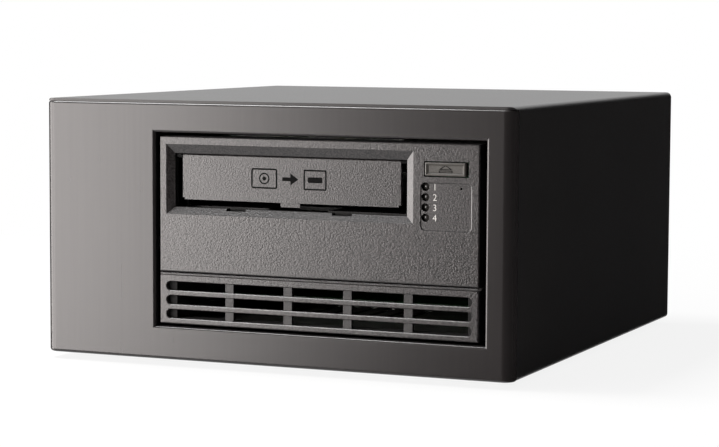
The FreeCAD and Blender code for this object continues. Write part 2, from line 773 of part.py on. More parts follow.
def interface_sockets():
    """Two wide parallel sockets: slanted shells through the panel, bodies and flanges behind it."""
    sockets = []
    half = socket_shell_width / 2
    rise = socket_shell_height / 2
    for z in socket_heights:
        y0, y1 = rear_inner_y - 1.0, rear_face_y + 4.4
        shell = prism([(socket_x - half + 1.6, y0, z - rise), (socket_x + half - 1.6, y0, z - rise),
                       (socket_x + half, y0, z + rise), (socket_x - half, y0, z + rise)], V(0, y1 - y0, 0))
        face = box(socket_x - half + 3.0, socket_x + half - 3.0, y1 - 2.5, y1 + 1, z - 2.6, z + 2.6)
        flange = box(socket_x - 33.0, socket_x + 33.0, rear_inner_y - 1.0, rear_inner_y, z - 6.3, z + 6.3)
        body = box(socket_x - 25.5, socket_x + 25.5, rear_inner_y - socket_body_depth, rear_inner_y - 1.0,
                   z - 5.5, z + 5.5)
        holes = [rod((socket_x + s * socket_screw_pitch / 2, rear_inner_y - 2.0, z), Y,
                     screw_hole_radius, 3.0) for s in (-1, 1)]
        sockets.append(cut(fuse([shell, flange, body]), [face] + holes))
    return sockets


def jackscrews():
    """Hexagonal threaded standoffs beside each socket."""
    jacks = []
    for z in socket_heights:
        for side in (-1, 1):
            x = socket_x + side * socket_screw_pitch / 2
            hexagon = facet_rod((x, rear_face_y, z), Y, jack_radius, jack_length, 6)
            stud = facet_rod((x, rear_face_y - 6.0, z), Y, screw_radius - 0.2, 6.0, 8)
            thread = rod((x, rear_face_y + jack_length - jack_thread_depth, z), Y, jack_thread_radius,
                         jack_thread_depth + 1)
            jacks.append(fuse([hexagon, stud]).cut(thread))
    return jacks


ribbon_thickness = 1.0
ribbon_half = 22.0
drive_plug_z = drive_z + 12.0
ribbon_y = rear_inner_y - socket_body_depth - ribbon_thickness


def ribbon_cable():
    """Flat cable pressed across the backs of both sockets and down to the drive's plug."""
    return box(socket_x - ribbon_half, socket_x + ribbon_half, ribbon_y, ribbon_y + ribbon_thickness,
               drive_plug_z - 5.0, socket_heights[-1] + 5.0)


def drive_rear_sockets():
    """Data plug and power header on the drive's back edge."""
    data = box(socket_x - 24.0, socket_x + 24.0, drive_rear_y, ribbon_y,
               drive_plug_z - 4.5, drive_plug_z + 4.5)
    power_x = fan_x - 18.0
    power = box(power_x - 10.5, power_x + 10.5, drive_rear_y, drive_rear_y + 6.0,
                drive_z + 5.0, drive_z + 13.0)
    pins = [rod((power_x - 7.6 + 5.08 * i, drive_rear_y - 1, drive_z + 9.0), Y, 1.9, 8.0) for i in range(4)]
    return [data, cut(power, pins)]


# ---------------------------------------------------------------- fan
fan_y0 = rear_inner_y - fan_thickness


def fan_screw_places():
    """Centres of the fan's four fixing holes."""
    half = fan_hole_pitch / 2
    return [(fan_x + sx * half, fan_z + sz * half) for sx in (-1, 1) for sz in (-1, 1)]


def fan_frame():
    """Square fan housing with its round duct, three struts and the motor's seat."""
    half = fan_size / 2
    frame = box(fan_x - half, fan_x + half, fan_y0, rear_inner_y, fan_z - half, fan_z + half)
    frame = rounded(frame, 4.0, lambda e: along(e, Y))
    frame = frame.cut(rod((fan_x, fan_y0 - 1, fan_z), Y, fan_bore_radius, fan_thickness + 2))
    waist = tube((fan_x, fan_y0 + 4.0, fan_z), Y, half * 1.6, fan_bore_radius + 2.2, fan_thickness - 8.0)
    waist = waist.cut(tube((fan_x, fan_y0 + 3.0, fan_z), Y, half * 1.7, half * 1.6, fan_thickness))
    corners = [box(x - 5.0, x + 5.0, fan_y0, rear_inner_y, z - 5.0, z + 5.0) for x, z in fan_screw_places()]
    frame = frame.cut(cut(waist, corners))
    seat_y = rear_inner_y - 3.5
    seat = rod((fan_x, seat_y, fan_z), Y, fan_hub_radius, 3.5)
    struts = []
    for i in range(3):
        strut = box(fan_x + fan_hub_radius - 1, fan_x + fan_bore_radius + 0.6, seat_y, rear_inner_y,
                    fan_z - 1.2, fan_z + 1.2)
        strut.rotate(V(fan_x, 0, fan_z), Y, 120 * i + 30)
        struts.append(strut)
    holes = [rod((x, fan_y0 - 1, z), Y, screw_hole_radius, fan_thickness + 2) for x, z in fan_screw_places()]
    bearing = rod((fan_x, seat_y - 1, fan_z), Y, 1.5 + pivot_clearance, 3.6)
    return cut(fuse([frame, seat] + struts), holes + [bearing])


def fan_rotor():
    """Hub with a shaft and its pitched blades."""
    hub_y0 = fan_y0 + 1.5
    hub_y1 = rear_inner_y - 4.0
    hub = rod((fan_x, hub_y0, fan_z), Y, fan_hub_radius, hub_y1 - hub_y0)
    hub = rounded(hub, 1.5, lambda e: near(e.BoundBox.YMax, hub_y0))
    shaft = rod((fan_x, hub_y1 - 0.5, fan_z), Y, 1.5, 2.8)
    blades = []
    for i in range(fan_blades):
        root_z = fan_z + fan_hub_radius - 1.0
        left, right = fan_x - fan_blade_sweep / 2, fan_x + fan_blade_sweep / 2
        chord = (hub_y0 + 0.8, hub_y1 - 0.8)
        blade = prism([(left, chord[0], root_z), (left + fan_blade_edge, chord[0], root_z),
                       (right, chord[1], root_z), (right - fan_blade_edge, chord[1], root_z)],
                      V(0, 0, fan_blade_radius - fan_hub_radius + 1.0))
        blade = blade.common(rod((fan_x, hub_y0, fan_z), Y, fan_blade_radius, hub_y1 - hub_y0))
        blade.rotate(V(fan_x, 0, fan_z), Y, 360.0 * i / fan_blades)
        blades.append(blade)
    return fuse([hub, shaft] + blades)


def fan_guard():
    """Finger guard: three rings on two crossed wires that reach the fixing screws."""
    y0 = rear_face_y
    y1 = y0 + guard_wire
    rings = []
    for radius in (9.0, 17.0, 25.0):
        ring = facet_rod((fan_x, y1, fan_z), Y, radius + guard_wire, guard_wire, guard_sides)
        rings.append(ring.cut(facet_rod((fan_x, y1 - 1, fan_z), Y, radius, guard_wire + 2, guard_sides)))
    spokes = []
    reach = fan_hole_pitch / math.sqrt(2)
    for angle in (45, 135):
        spoke = box(fan_x - reach, fan_x + reach, y0, y1, fan_z - guard_wire / 2, fan_z + guard_wire / 2)
        spoke.rotate(V(fan_x, 0, fan_z), Y, angle)
        spokes.append(spoke)
    eyes = [rod((x, y0, z), Y, 3.4, guard_wire) for x, z in fan_screw_places()]
    holes = [rod((x, y0 - 1, z), Y, screw_hole_radius, guard_wire + 2) for x, z in fan_screw_places()]
    return cut(fuse(spokes + rings + eyes), holes)


# ---------------------------------------------------------------- drive body
drive_board_z = drive_z + 6.0
drive_board_t = 1.6


def drive_chassis():
    """Cast frame: two side walls joined by the mechanism floor, ribbed underneath."""
    y0, y1 = bezel_back_y, drive_rear_y
    wall_top = drive_top_z - drive_plate
    walls = [box(drive_x, wall_left_x, y0, y1, drive_z + drive_plate, wall_top),
             box(wall_right_x, drive_right_x, y0, y1, drive_z + drive_plate, wall_top)]
    floor = box(wall_left_x, wall_right_x, y0, y1, deck_z - cast_floor, deck_z)
    ribs = [box(wall_left_x, wall_right_x, y, y + 2.0, deck_z - cast_floor - 4.0, deck_z - cast_floor)
            for y in (y0 + 24.0, y0 + 74.0, y0 + 124.0, y0 + 174.0)]
    ribs += [box(x, x + 2.0, y0, y1, deck_z - cast_floor - 4.0, deck_z - cast_floor)
             for x in (wall_left_x + 44.0, wall_left_x + 96.0)]
    back = box(wall_left_x, wall_right_x, y1 - cast_wall, y1, deck_z, deck_z + 26.0)
    ledges = [box(wall_left_x, wall_left_x + 4.0, y0, y1, drive_board_z - 2.0, drive_board_z),
              box(wall_right_x - 4.0, wall_right_x, y0, y1, drive_board_z - 2.0, drive_board_z)]
    grooves = []
    for y in pin_ys:
        low, high = pin_z - load_drop - cam_pin_radius - 0.3, pin_z + cam_pin_radius + 0.3
        grooves.append(box(wall_left_x - 1.5, wall_left_x + 1, y - cam_pin_radius - cam_clearance,
                           y + cam_pin_radius + cam_clearance, low, high))
    screw_holes = [rod((x, y, bracket_screw_z), X, screw_radius - 0.3, cast_wall + 2)
                   for x in (drive_x - 1, wall_right_x - 1) for y in bracket_ys]
    return cut(fuse(walls + [floor, back] + ribs + ledges), grooves + screw_holes)


def drive_top_plate():
    """Lid of the drive with two stiffening bosses pressed into it and a round relief over the reel."""
    plate = box(drive_x, drive_right_x, bezel_back_y, drive_rear_y, drive_top_z - drive_plate, drive_top_z)
    relief = tube((reel_x, reel_y, drive_top_z - 0.4), Z, 40.0, 34.0, 1.0)
    panel = box(drive_x + 14.0, drive_right_x - 40.0, bezel_back_y + 16.0, bezel_back_y + 84.0,
                drive_top_z - 0.4, drive_top_z + 1.0)
    panel_core = box(drive_x + 18.0, drive_right_x - 44.0, bezel_back_y + 20.0, bezel_back_y + 80.0,
                     drive_top_z - 0.5, drive_top_z + 1.1)
    return cut(plate, [relief, panel.cut(panel_core)])


def drive_bottom_plate():
    """Stamped cover under the drive's electronics, with air slots."""
    plate = box(drive_x, drive_right_x, bezel_back_y, drive_rear_y, drive_z, drive_z + drive_plate)
    slots = [box(drive_x + 30.0 + 9.0 * i, drive_x + 33.0 + 9.0 * i, bezel_back_y + 40.0, bezel_back_y + 70.0,
                 drive_z - 1, drive_z + 2) for i in range(8)]
    return cut(plate, slots)


def drive_board():
    """Controller board lying on the frame's ledges under the mechanism floor."""
    return box(wall_left_x + 0.3, wall_right_x - 0.3, bezel_back_y + board_set_back, drive_rear_y - 1.0,
               drive_board_z, drive_board_z + drive_board_t)


# ---------------------------------------------------------------- drive front
def slot_frustum():
    """Tapering mouth of the cartridge slot, from the bezel's face to the door's plane."""
    x0, x1 = bezel_x + slot_left, bezel_x + slot_right
    z0, z1 = bezel_z + slot_bottom, bezel_z + slot_top
    y1 = bezel_y + slot_chamfer_depth
    wide = Part.makePolygon([V(x0, bezel_y, z0), V(x1, bezel_y, z0), V(x1, bezel_y, z1),
                             V(x0, bezel_y, z1), V(x0, bezel_y, z0)])
    tight = Part.makePolygon([V(mouth_left, y1, mouth_bottom), V(mouth_right, y1, mouth_bottom),
                              V(mouth_right, y1, mouth_top), V(mouth_left, y1, mouth_top),
                              V(mouth_left, y1, mouth_bottom)])
    return Part.makeLoft([wide, tight], True, True)


def shell_block(z0, z1, right_extra=0.0):
    """Open-backed moulded box of the bezel's width."""
    x0, x1 = bezel_x, bezel_x + bezel_width + right_extra
    outer = rounded(box(x0, x1, bezel_y, bezel_back_y, z0, z1), 0.6,
                    lambda e: near(e.BoundBox.YMax, bezel_y))
    inner = box(x0 + bezel_wall, x1 - bezel_wall, bezel_y + bezel_wall, bezel_back_y + 1,
                z0 + bezel_wall, z1 - bezel_wall)
    return outer.cut(inner)


def button_pocket(y1):
    """Hole in the bezel that the eject button moves in."""
    c = button_clearance
    return box(bezel_x + button_left - c, bezel_x + button_pocket_right, bezel_y - 1, y1,
               bezel_z + button_bottom - c, bezel_z + button_top + c)


button_mid_x = bezel_x + (button_left + button_right) / 2
button_mid_z = bezel_z + (button_bottom + button_top) / 2
button_face_y = bezel_y - button_proud
front_board_y = bezel_y + 7.2


def drive_bezel():
    """Upper faceplate: tapered slot mouth with its collar, label field, button and light holes."""
    z0 = bezel_z + grille_height + grille_seam
    shell = shell_block(z0, bezel_z + bezel_height)
    collar = box(mouth_left - slot_ring_wall - 3.0, mouth_right + slot_ring_wall + 1.0, bezel_y + 1.0,
                 bezel_y + slot_ring_depth, mouth_bottom - slot_ring_wall - 2.0, bezel_z + bezel_height - 1.0)
    mouth = box(mouth_left, mouth_right, bezel_y - 1, bezel_y + slot_ring_depth + 1, mouth_bottom, mouth_top)
    notches = []
    for side in (-1, 1):
        x = slot_mid_x + side * slot_notch_spread / 2
        notches.append(box(x - slot_notch_width / 2, x + slot_notch_width / 2, bezel_y + 1.8,
                           bezel_y + slot_ring_depth + 1, mouth_bottom - slot_notch_drop, mouth_bottom + 1))
    pin_hole_radius = door_pin_radius + pivot_clearance
    pins = [rod((mouth_left - door_pin_seat - 0.1, door_axis_y, door_axis_z), X, pin_hole_radius, 3.0),
            rod((mouth_right + door_pin_seat + 0.1, door_axis_y, door_axis_z), -X, pin_hole_radius, 3.0)]
    label = rounded(box(bezel_x + label_left, bezel_x + label_right, bezel_y - 1, bezel_y + label_recess,
                        bezel_z + label_bottom, bezel_z + label_top), label_radius, lambda e: along(e, Y))
    label = label.makeChamfer(label_slope, [edge for edge in label.Edges
                                            if near(edge.BoundBox.YMin, bezel_y + label_recess)])
    lights = [rod((bezel_x + light_x, bezel_y - 1, bezel_z + z), Y, light_radius + light_clearance, 6.0)
              for z in light_heights]
    pinhole = rod((bezel_x + pinhole_x, bezel_y - 1, bezel_z + pinhole_z), Y, pinhole_radius, 6.0)
    bezel = cut(fuse([shell, collar]), [slot_frustum(), mouth, label, pinhole, button_pocket(bezel_y + 4.0)]
                + notches + pins + lights)
    posts = [rod((bezel_x + label_right - 5.0, bezel_y + bezel_wall - 0.5, bezel_z + z), Y, 2.0,
                 front_board_y - bezel_y - bezel_wall + 0.5) for z in (48.5, 57.5)]
    return fuse([bezel] + posts)


def grille_panel():
    """Lower faceplate: three long round-ended vents crossed by set-back ribs, under a seam strip."""
    z1 = bezel_z + grille_height
    shell = shell_block(bezel_z, z1)
    groove_top = z1 - grille_bead
    groove = box(bezel_x - 1, bezel_x + bezel_width + 1, bezel_y - 1, bezel_y + grille_groove_depth,
                 groove_top - grille_groove, groove_top)
    tongue = box(bezel_x + bezel_width - 1.0, bezel_x + bezel_width + grille_tongue, bezel_y + 0.6,
                 bezel_y + 5.0, groove_top, z1)
    vents = [round_bar(bezel_x + vent_left, bezel_x + vent_right, bezel_y - 1, bezel_y + bezel_wall + 1,
                       bezel_z + z, vent_height) for z in vent_rows]
    front = cut(shell, [groove] + vents)
    rim_top = bezel_z + vent_rows[0] + vent_height
    front = front.makeChamfer(vent_edge, [edge for edge in front.Edges
                                          if near(edge.BoundBox.YMax, bezel_y)
                                          and bezel_z + 1 < edge.BoundBox.ZMin and edge.BoundBox.ZMax < rim_top
                                          and edge.BoundBox.XMax < bezel_x + bezel_width - 1])
    rib_low = bezel_z + vent_rows[-1] - vent_height / 2 - 0.8
    rib_high = bezel_z + vent_rows[0] + vent_height / 2 + 0.8
    ribs = []
    for lefts, recess in ((rib_lefts, rib_recess), (end_rib_lefts, end_rib_recess)):
        ribs += [box(bezel_x + x, bezel_x + x + rib_width, bezel_y + recess, bezel_y + bezel_wall + 0.6,
                     rib_low, rib_high) for x in lefts]
    return fuse([front, tongue] + ribs)


def slot_door():
    """Flap with a rounded hinge edge, two stub pins, a centre tab and nicked lower corners."""
    x0 = mouth_left + door_side_gap
    x1 = mouth_right - door_side_gap
    z0 = mouth_bottom + door_bottom_gap
    y0 = bezel_y + door_set_back
    y1 = y0 + door_thickness
    plate = box(x0, x1, y0, y1, z0, door_axis_z)
    edge = rod((x0, door_axis_y, door_axis_z), X, door_thickness / 2, x1 - x0)
    tab = box(slot_mid_x - door_tab_width / 2, slot_mid_x + door_tab_width / 2, y0 + door_tab_set_back, y1,
              z0 - door_tab_drop, z0 + 1)
    pin_reach = door_side_gap + door_pin_seat
    pins = rod((x0 - pin_reach, door_axis_y, door_axis_z), X, door_pin_radius, x1 - x0 + 2 * pin_reach)
    nicks = [box(x - door_corner_nick, x + door_corner_nick, y0 - 1, y1 + 1, z0 - 1, z0 + door_corner_nick)
             for x in (x0, x1)]
    return cut(fuse([plate, edge, tab, pins]), nicks)


def door_spring():
    """Small torsion spring: a coil round the left stub pin with one leg behind the door."""
    x0 = mouth_left + 0.5
    coil = tube((x0, door_axis_y, door_axis_z), X, 0.98, 0.7, 2.2)
    leg_y = door_axis_y + door_thickness / 2 + 0.02
    leg = box(x0 + 1.8, x0 + 5.6, leg_y, leg_y + door_wire, door_axis_z - 0.5, door_axis_z - 0.14)
    bridge = box(x0 + 1.8, x0 + 2.2, door_axis_y + 0.7, leg_y + door_wire,
                 door_axis_z - 0.5, door_axis_z - 0.14)
    return fuse([coil, bridge, leg])


def eject_button():
    """Button cap with a sloped frame round a dished face, and the stem into its switch."""
    cap = box(bezel_x + button_left, bezel_x + button_right, button_face_y, button_face_y + button_depth,
              bezel_z + button_bottom, bezel_z + button_top)
    cap = rounded(cap, 0.5, lambda e: near(e.BoundBox.YMax, button_face_y))
    dish = box(bezel_x + button_left + button_frame, bezel_x + button_right - button_frame,
               button_face_y - 1, button_face_y + button_dish,
               bezel_z + button_bottom + button_frame, bezel_z + button_top - button_frame)
    dish = dish.makeChamfer(button_slope, [edge for edge in dish.Edges
                                           if near(edge.BoundBox.YMin, button_face_y + button_dish)])
    stem = rod((button_mid_x, button_face_y + button_depth - 0.5, button_mid_z), Y, button_stem_radius,
               front_board_y - switch_depth + stem_reach - button_face_y - button_depth + 0.5)
    return fuse([cap.cut(dish), stem])


def front_board():
    """Small board behind the bezel that carries the button's switch and the lights."""
    return box(bezel_x + label_left - 0.5, bezel_x + label_right - 0.6, front_board_y,
               front_board_y + front_board_thickness,
               bezel_z + label_bottom + 0.5, bezel_z + button_top + 1.5)


def button_switch():
    """Push switch on the front board, with the well that takes the button's stem."""
    half = switch_size / 2
    body = box(button_mid_x - half, button_mid_x + half, front_board_y - switch_depth, front_board_y,
               button_mid_z - half, button_mid_z + half)
    well_depth = stem_reach + button_travel + 0.1
    well = rod((button_mid_x, front_board_y - switch_depth - 1, button_mid_z), Y,
               button_stem_radius + pivot_clearance, well_depth + 1)
    return body.cut(well)


def status_lights():
    """Four domed light pipes, sunk in their holes and standing on the front board."""
    crown_y = bezel_y + label_recess + light_sink
    lights = []
    for z in light_heights:
        pipe = rod((bezel_x + light_x, crown_y, bezel_z + z), Y, light_radius, front_board_y - crown_y)
        dome = Part.makeSphere(light_dome, V(bezel_x + light_x, crown_y + light_dome, bezel_z + z))
        behind = rod((bezel_x + light_x, crown_y + light_dome, bezel_z + z), Y, light_radius,
                     front_board_y - crown_y - light_dome)
        lights.append(pipe.common(dome.fuse(behind)))
    return lights


# ---------------------------------------------------------------- cartridge loader
def cartridge_tray():
    """Open cradle for the cartridge: floor with the clutch window, side walls, top lips, cam pins."""
    wall_top = cartridge_z + cartridge_height + cartridge_slip + 0.2
    lip_top = wall_top + tray_wall
    lip_y0 = bezel_y + door_set_back + (mouth_top - mouth_bottom) + 3.0
    floor = box(tray_left, tray_right, tray_front_y, tray_rear_y, tray_z, tray_z + tray_floor)
    left = box(tray_left, tray_left + tray_wall, tray_front_y, tray_rear_y, tray_z, wall_top)
    right_end = tray_rear_y - leader_corner
    right = box(tray_right - tray_wall, tray_right, tray_front_y, right_end, tray_z, wall_top)
    lips = [box(tray_left, tray_left + tray_wall + 5.0, lip_y0, tray_rear_y, wall_top, lip_top),
            box(tray_right - tray_wall - 5.0, tray_right, lip_y0, right_end, wall_top, lip_top)]
    tie = box(tray_left, tray_right, lip_y0 + 30.0, lip_y0 + 42.0, wall_top, lip_top)
    window = rod((slot_mid_x, hub_y, tray_z - 1), Z, clutch_radius + 8.0, tray_floor + 2)
    corner = box(cartridge_right - leader_corner, tray_right + 1, right_end, tray_rear_y + 1,
                 tray_z - 1, tray_z + tray_floor + 1)
    relief = box(slot_mid_x - 14.0, slot_mid_x + 14.0, tray_front_y - 1, hub_y - 30.0,
                 tray_z - 1, tray_z + tray_floor + 1)
    pins = []
    left_reach = tray_left + 0.4 - wall_left_x + 1.2
    right_reach = guide_x + cam_plate - tray_right + 0.9
    for y in pin_ys:
        pins.append(rod((tray_left + 0.4, y, pin_z), -X, cam_pin_radius, left_reach))
        pins.append(rod((tray_right - 0.4, y, pin_z), X, cam_pin_radius, right_reach))
    return fuse([cut(fuse([floor, left, right] + lips + [tie]), [window, corner, relief])] + pins)


cam_front_y = pin_ys[0] - cam_travel - 4.0
cam_rear_y = pin_ys[1] + 16.0
cam_top_z = pin_z + 6.0
cam_low_z = deck_z + 3.0


def cam_slots(x0, x1):
    """Slanted slots that turn the slide's travel into the tray's drop."""
    slots = []
    reach = cam_pin_radius + cam_clearance
    for y in pin_ys:
        length = math.hypot(cam_travel, load_drop)
        along_y, along_z = -cam_travel / length, -load_drop / length
        side_y, side_z = -along_z * reach, along_y * reach
        start = (y - along_y * 0.2, pin_z - along_z * 0.2)
        end = (y - cam_travel + along_y * 0.2, pin_z - load_drop + along_z * 0.2)
        corners = [(x0, start[0] + side_y, start[1] + side_z), (x0, end[0] + side_y, end[1] + side_z),
                   (x0, end[0] - side_y, end[1] - side_z), (x0, start[0] - side_y, start[1] - side_z)]
        slots.append(prism(corners, V(x1 - x0, 0, 0)))
        slots += [rod((x0, *point), X, reach, x1 - x0) for point in (start, end)]
    return slots


def rack_teeth(x0, x1):
    """Straight-sided teeth pointing down at the pinion, with a gap over its axis at rest."""
    half = tooth_pitch / 4 * tooth_share
    slope = math.tan(math.radians(20))
    tip, root = rack_module, 1.25 * rack_module
    teeth = []
    for i in range(-5, 3):
        y = pinion_y + (i + 0.5) * tooth_pitch
        points = [(x0, y - half + slope * tip, rack_pitch_z - tip),
                  (x0, y + half - slope * tip, rack_pitch_z - tip),
                  (x0, y + half + slope * root, rack_pitch_z + root),
                  (x0, y - half - slope * root, rack_pitch_z + root)]
        teeth.append(prism(points, V(x1 - x0, 0, 0)))
    return teeth


def cam_slide():
    """Two cam plates either side of the tray, joined low behind it, with a rack on the right one."""
    right = (cam_right_x, cam_right_x + cam_plate)
    left = (cam_left_x, cam_left_x + cam_plate)
    rack_root_z = rack_pitch_z + 1.25 * rack_module
    parts = [
        box(*left, cam_front_y, cam_rear_y, pin_z - load_drop - 6.0, cam_top_z),
        box(*right, cam_front_y, cam_rear_y, rack_root_z - 0.01, cam_top_z),
        box(*left, cam_rear_y - 10.0, cam_rear_y, cam_low_z, pin_z),
        box(*right, cam_rear_y - 10.0, cam_rear_y, cam_low_z, pin_z),
        box(left[0], right[1], cam_rear_y - 10.0, cam_rear_y, cam_low_z, cam_low_z + cam_plate),
    ]
    body = fuse(parts + rack_teeth(*right))
    return cut(body, cam_slots(cam_left_x - 1, cam_left_x + cam_plate + 1)
               + cam_slots(cam_right_x - 1, cam_right_x + cam_plate + 1))


motor_radius = 6.0
motor_flat = 5.0
motor_length = 20.0


def loader_guide():
    """Fixed bracket right of the tray: upright slots keep the pins from moving fore and aft."""
    x0, x1 = guide_x, guide_x + cam_plate
    y0, y1 = cam_front_y + 2.0, pin_ys[1] + 6.0
    wall = box(x0, x1, y0, y1, deck_z, cam_top_z)
    feet = [box(x0, x1 + 7.0, y, y + 14.0, deck_z, deck_z + cam_plate) for y in (y0, y1 - 14.0)]
    reach = cam_pin_radius + cam_clearance
    slots = [box(x0 - 1, x1 + 1, y - reach, y + reach, pin_z - load_drop - reach - 0.2, pin_z + reach + 0.2)
             for y in pin_ys]
    hole = rod((x0 - 1, pinion_y, pinion_z), X, motor_flat - 0.1, cam_plate + 2)
    return cut(fuse([wall] + feet), slots + [hole])


def loader_motor():
    """Small flat-sided motor on the guide bracket."""
    x0 = guide_x + cam_plate
    body = rod((x0, pinion_y, pinion_z), X, motor_radius, motor_length)
    flat_sided = body.common(box(x0, x0 + motor_length, pinion_y - motor_radius, pinion_y + motor_radius,
                                 pinion_z - motor_flat, pinion_z + motor_flat))
    return flat_sided.cut(rod((x0 - 1, pinion_y, pinion_z), X, 1.0 + pivot_clearance, 5.0))


def loader_pinion():
    """Ten-tooth pinion on the motor's shaft, in mesh with the cam slide's rack."""
    x0 = cam_right_x - 0.25
    x1 = cam_right_x + cam_plate + 0.25
    root = pinion_pitch_radius - 1.25 * rack_module
    tip = pinion_pitch_radius + rack_module
    core = rod((x0, pinion_y, pinion_z), X, root + 0.05, x1 - x0)
    half_angle = 90.0 / pinion_teeth * tooth_share
    stations = ((root - 0.3, half_angle * 1.25), (pinion_pitch_radius, half_angle), (tip, half_angle * 0.4))
    teeth = []
    for i in range(pinion_teeth):
        centre = 90.0 + 360.0 * i / pinion_teeth
        flank = [(radius, centre - spread) for radius, spread in stations]
        flank += [(radius, centre + spread) for radius, spread in reversed(stations)]
        points = [(x0, pinion_y + radius * math.cos(math.radians(angle)),
                   pinion_z + radius * math.sin(math.radians(angle))) for radius, angle in flank]
        teeth.append(prism(points, V(x1 - x0, 0, 0)))
    shaft = rod((x0, pinion_y, pinion_z), X, 1.0, guide_x + cam_plate + 3.5 - x0)
    return fuse([core] + teeth + [shaft])


# ---------------------------------------------------------------- reels
def supply_motor():
    """Flat motor on the floor under the cartridge's hub, with its shaft."""
    return turned([(0, deck_z), (20.0, deck_z), (20.0, deck_z + 3.6), (17.0, deck_z + 4.6),
                   (supply_shaft_radius, deck_z + 4.6), (supply_shaft_radius, deck_z + 8.0),
                   (0, deck_z + 8.0)], (slot_mid_x, hub_y))


def supply_clutch():
    """Toothed disc that drives the cartridge's hub from below."""
    z0 = deck_z + 4.9
    z1 = cartridge_z - load_drop - 1.2
    bore = supply_shaft_radius + pivot_clearance
    disc = turned([(bore, z0), (clutch_radius - 2.0, z0), (clutch_radius, z0 + 1.0), (clutch_radius, z1),
                   (clutch_radius - 5.0, z1), (clutch_radius - 6.0, z1 - 0.8), (5.0, z1 - 0.8),
                   (4.0, z1 + 0.6), (bore, z1 + 0.6)], (slot_mid_x, hub_y))
    teeth = []
    for i in range(clutch_teeth):
        tooth = prism([(slot_mid_x + clutch_radius - 4.6, hub_y - 0.8, z1),
                       (slot_mid_x + clutch_radius - 4.6, hub_y + 0.8, z1),
                       (slot_mid_x + clutch_radius - 4.6, hub_y, z1 + 1.2)], V(3.8, 0, 0))
        tooth.rotate(V(slot_mid_x, hub_y, 0), Z, 360.0 * i / clutch_teeth)
        teeth.append(tooth)
    return fuse([disc] + teeth)


def takeup_motor():
    """Flat motor of the take-up reel, with its shaft."""
    top = reel_high_z + flange_thickness + 0.6
    seat = reel_low_z - 0.6
    return turned([(0, deck_z), (24.0, deck_z), (24.0, seat - 1.6), (21.0, seat - 0.4), (6.0, seat - 0.4),
                   (6.0, seat), (reel_shaft_radius, seat), (reel_shaft_radius, top), (0, top)],
                  (reel_x, reel_y))


def leader_path(z0, z1):
    """Curved slot that follows the grabber from the flange's edge into the hub."""
    ring = tube((threader_x, threader_y, z0), Z, threader_radius + leader_slot / 2,
                threader_radius - leader_slot / 2, z1 - z0)
    reach = threader_radius + leader_slot
    first, last = math.radians(60.0), math.radians(threader_end_angle)
    middle_angle = (first + last) / 2
    corners = [(threader_x, threader_y, z0)]
    corners += [(threader_x + 1.6 * reach * math.cos(angle), threader_y + 1.6 * reach * math.sin(angle), z0)
                for angle in (first, middle_angle, last)]
    sector = prism(corners, V(0, 0, z1 - z0))
    end = rod((reel_x + leader_seat[0], reel_y + leader_seat[1], z0), Z, leader_slot / 2, z1 - z0)
    return ring.common(sector).fuse(end)


def takeup_reel():
    """Take-up reel: hub between two flanges, bored for the motor's shaft, with the leader's slot."""
    bore = reel_shaft_radius + pivot_clearance
    low, high = reel_low_z, reel_high_z
    floor, top = low + flange_thickness, high + flange_thickness
    reel = turned([(bore, low - 0.3), (5.5, low - 0.3), (5.5, low), (flange_radius, low),
                   (flange_radius, floor), (hub_radius, floor), (hub_radius, high), (flange_radius, high),
                   (flange_radius, top), (hub_radius - hub_wall, top), (hub_radius - hub_wall, floor),
                   (hub_core, floor), (hub_core, top), (bore, top)], (reel_x, reel_y))
    slot = leader_path(floor + 0.2, top + 1)
    windows = []
    for i in range(3):
        hole = rod((reel_x, reel_y + 33.5, low - 1), Z, 7.0, flange_thickness + 2)
        hole.rotate(V(reel_x, reel_y, 0), Z, 120.0 * i)
        windows.append(hole)
    return cut(reel, [slot] + windows)


# ---------------------------------------------------------------- tape path
roller_low_z = tape_mid_z - tape_width / 2 - 0.2 - roller_flange
roller_high_z = tape_mid_z + tape_width / 2 + 0.2 + roller_flange


def guide_roller(place):
    """Flanged roller with a bore for its post."""
    bore = roller_pin_radius + pivot_clearance
    low, high = roller_low_z, roller_high_z
    return turned([(bore, low), (roller_flange_radius, low),
                   (roller_flange_radius, low + roller_flange * 0.5),
                   (roller_radius, low + roller_flange), (roller_radius, high - roller_flange),
                   (roller_flange_radius, high - roller_flange * 0.5), (roller_flange_radius, high),
                   (bore, high)], place)


def roller_posts():
    """Four stepped posts standing on the floor, each with a shoulder under its roller."""
    shoulder, top = roller_low_z - 0.2, roller_high_z + 1.4
    return [turned([(0, deck_z), (4.0, deck_z), (4.0, shoulder), (roller_pin_radius, shoulder),
                    (roller_pin_radius, top), (0, top)], place) for place in roller_places]


head_low_z = tape_mid_z - 8.0
head_high_z = tape_mid_z + 8.0
bridge_z = tape_mid_z + 19.0
stepper_top_z = head_low_z - head_travel - 0.6


def head_stepper():
    """Stepper motor of the head's lead screw, standing on the floor."""
    body = rod((head_x, head_y, deck_z), Z, 5.6, stepper_top_z - deck_z)
    ears = box(head_x - 3.0, head_x + 3.0, head_y - 8.5, head_y + 8.5, deck_z, deck_z + 1.2)
    bore = rod((head_x, head_y, stepper_top_z - 4.0), Z, head_screw_radius + pivot_clearance, 5.0)
    rods = [rod((head_x, head_y + s * head_rod_spacing / 2, deck_z - 1), Z, head_rod_radius + 0.02, 30.0)
            for s in (-1, 1)]
    return cut(fuse([body, ears]), [bore] + rods)


def head_lead_screw():
    """Lead screw from the stepper up to the bridge."""
    return rod((head_x, head_y, stepper_top_z - 3.8), Z, head_screw_radius, bridge_z - stepper_top_z + 5.4)


def head_rods():
    """Two upright guide rods of the head carriage."""
    return [rod((head_x, head_y + s * head_rod_spacing / 2, deck_z), Z, head_rod_radius, bridge_z - deck_z)
            for s in (-1, 1)]


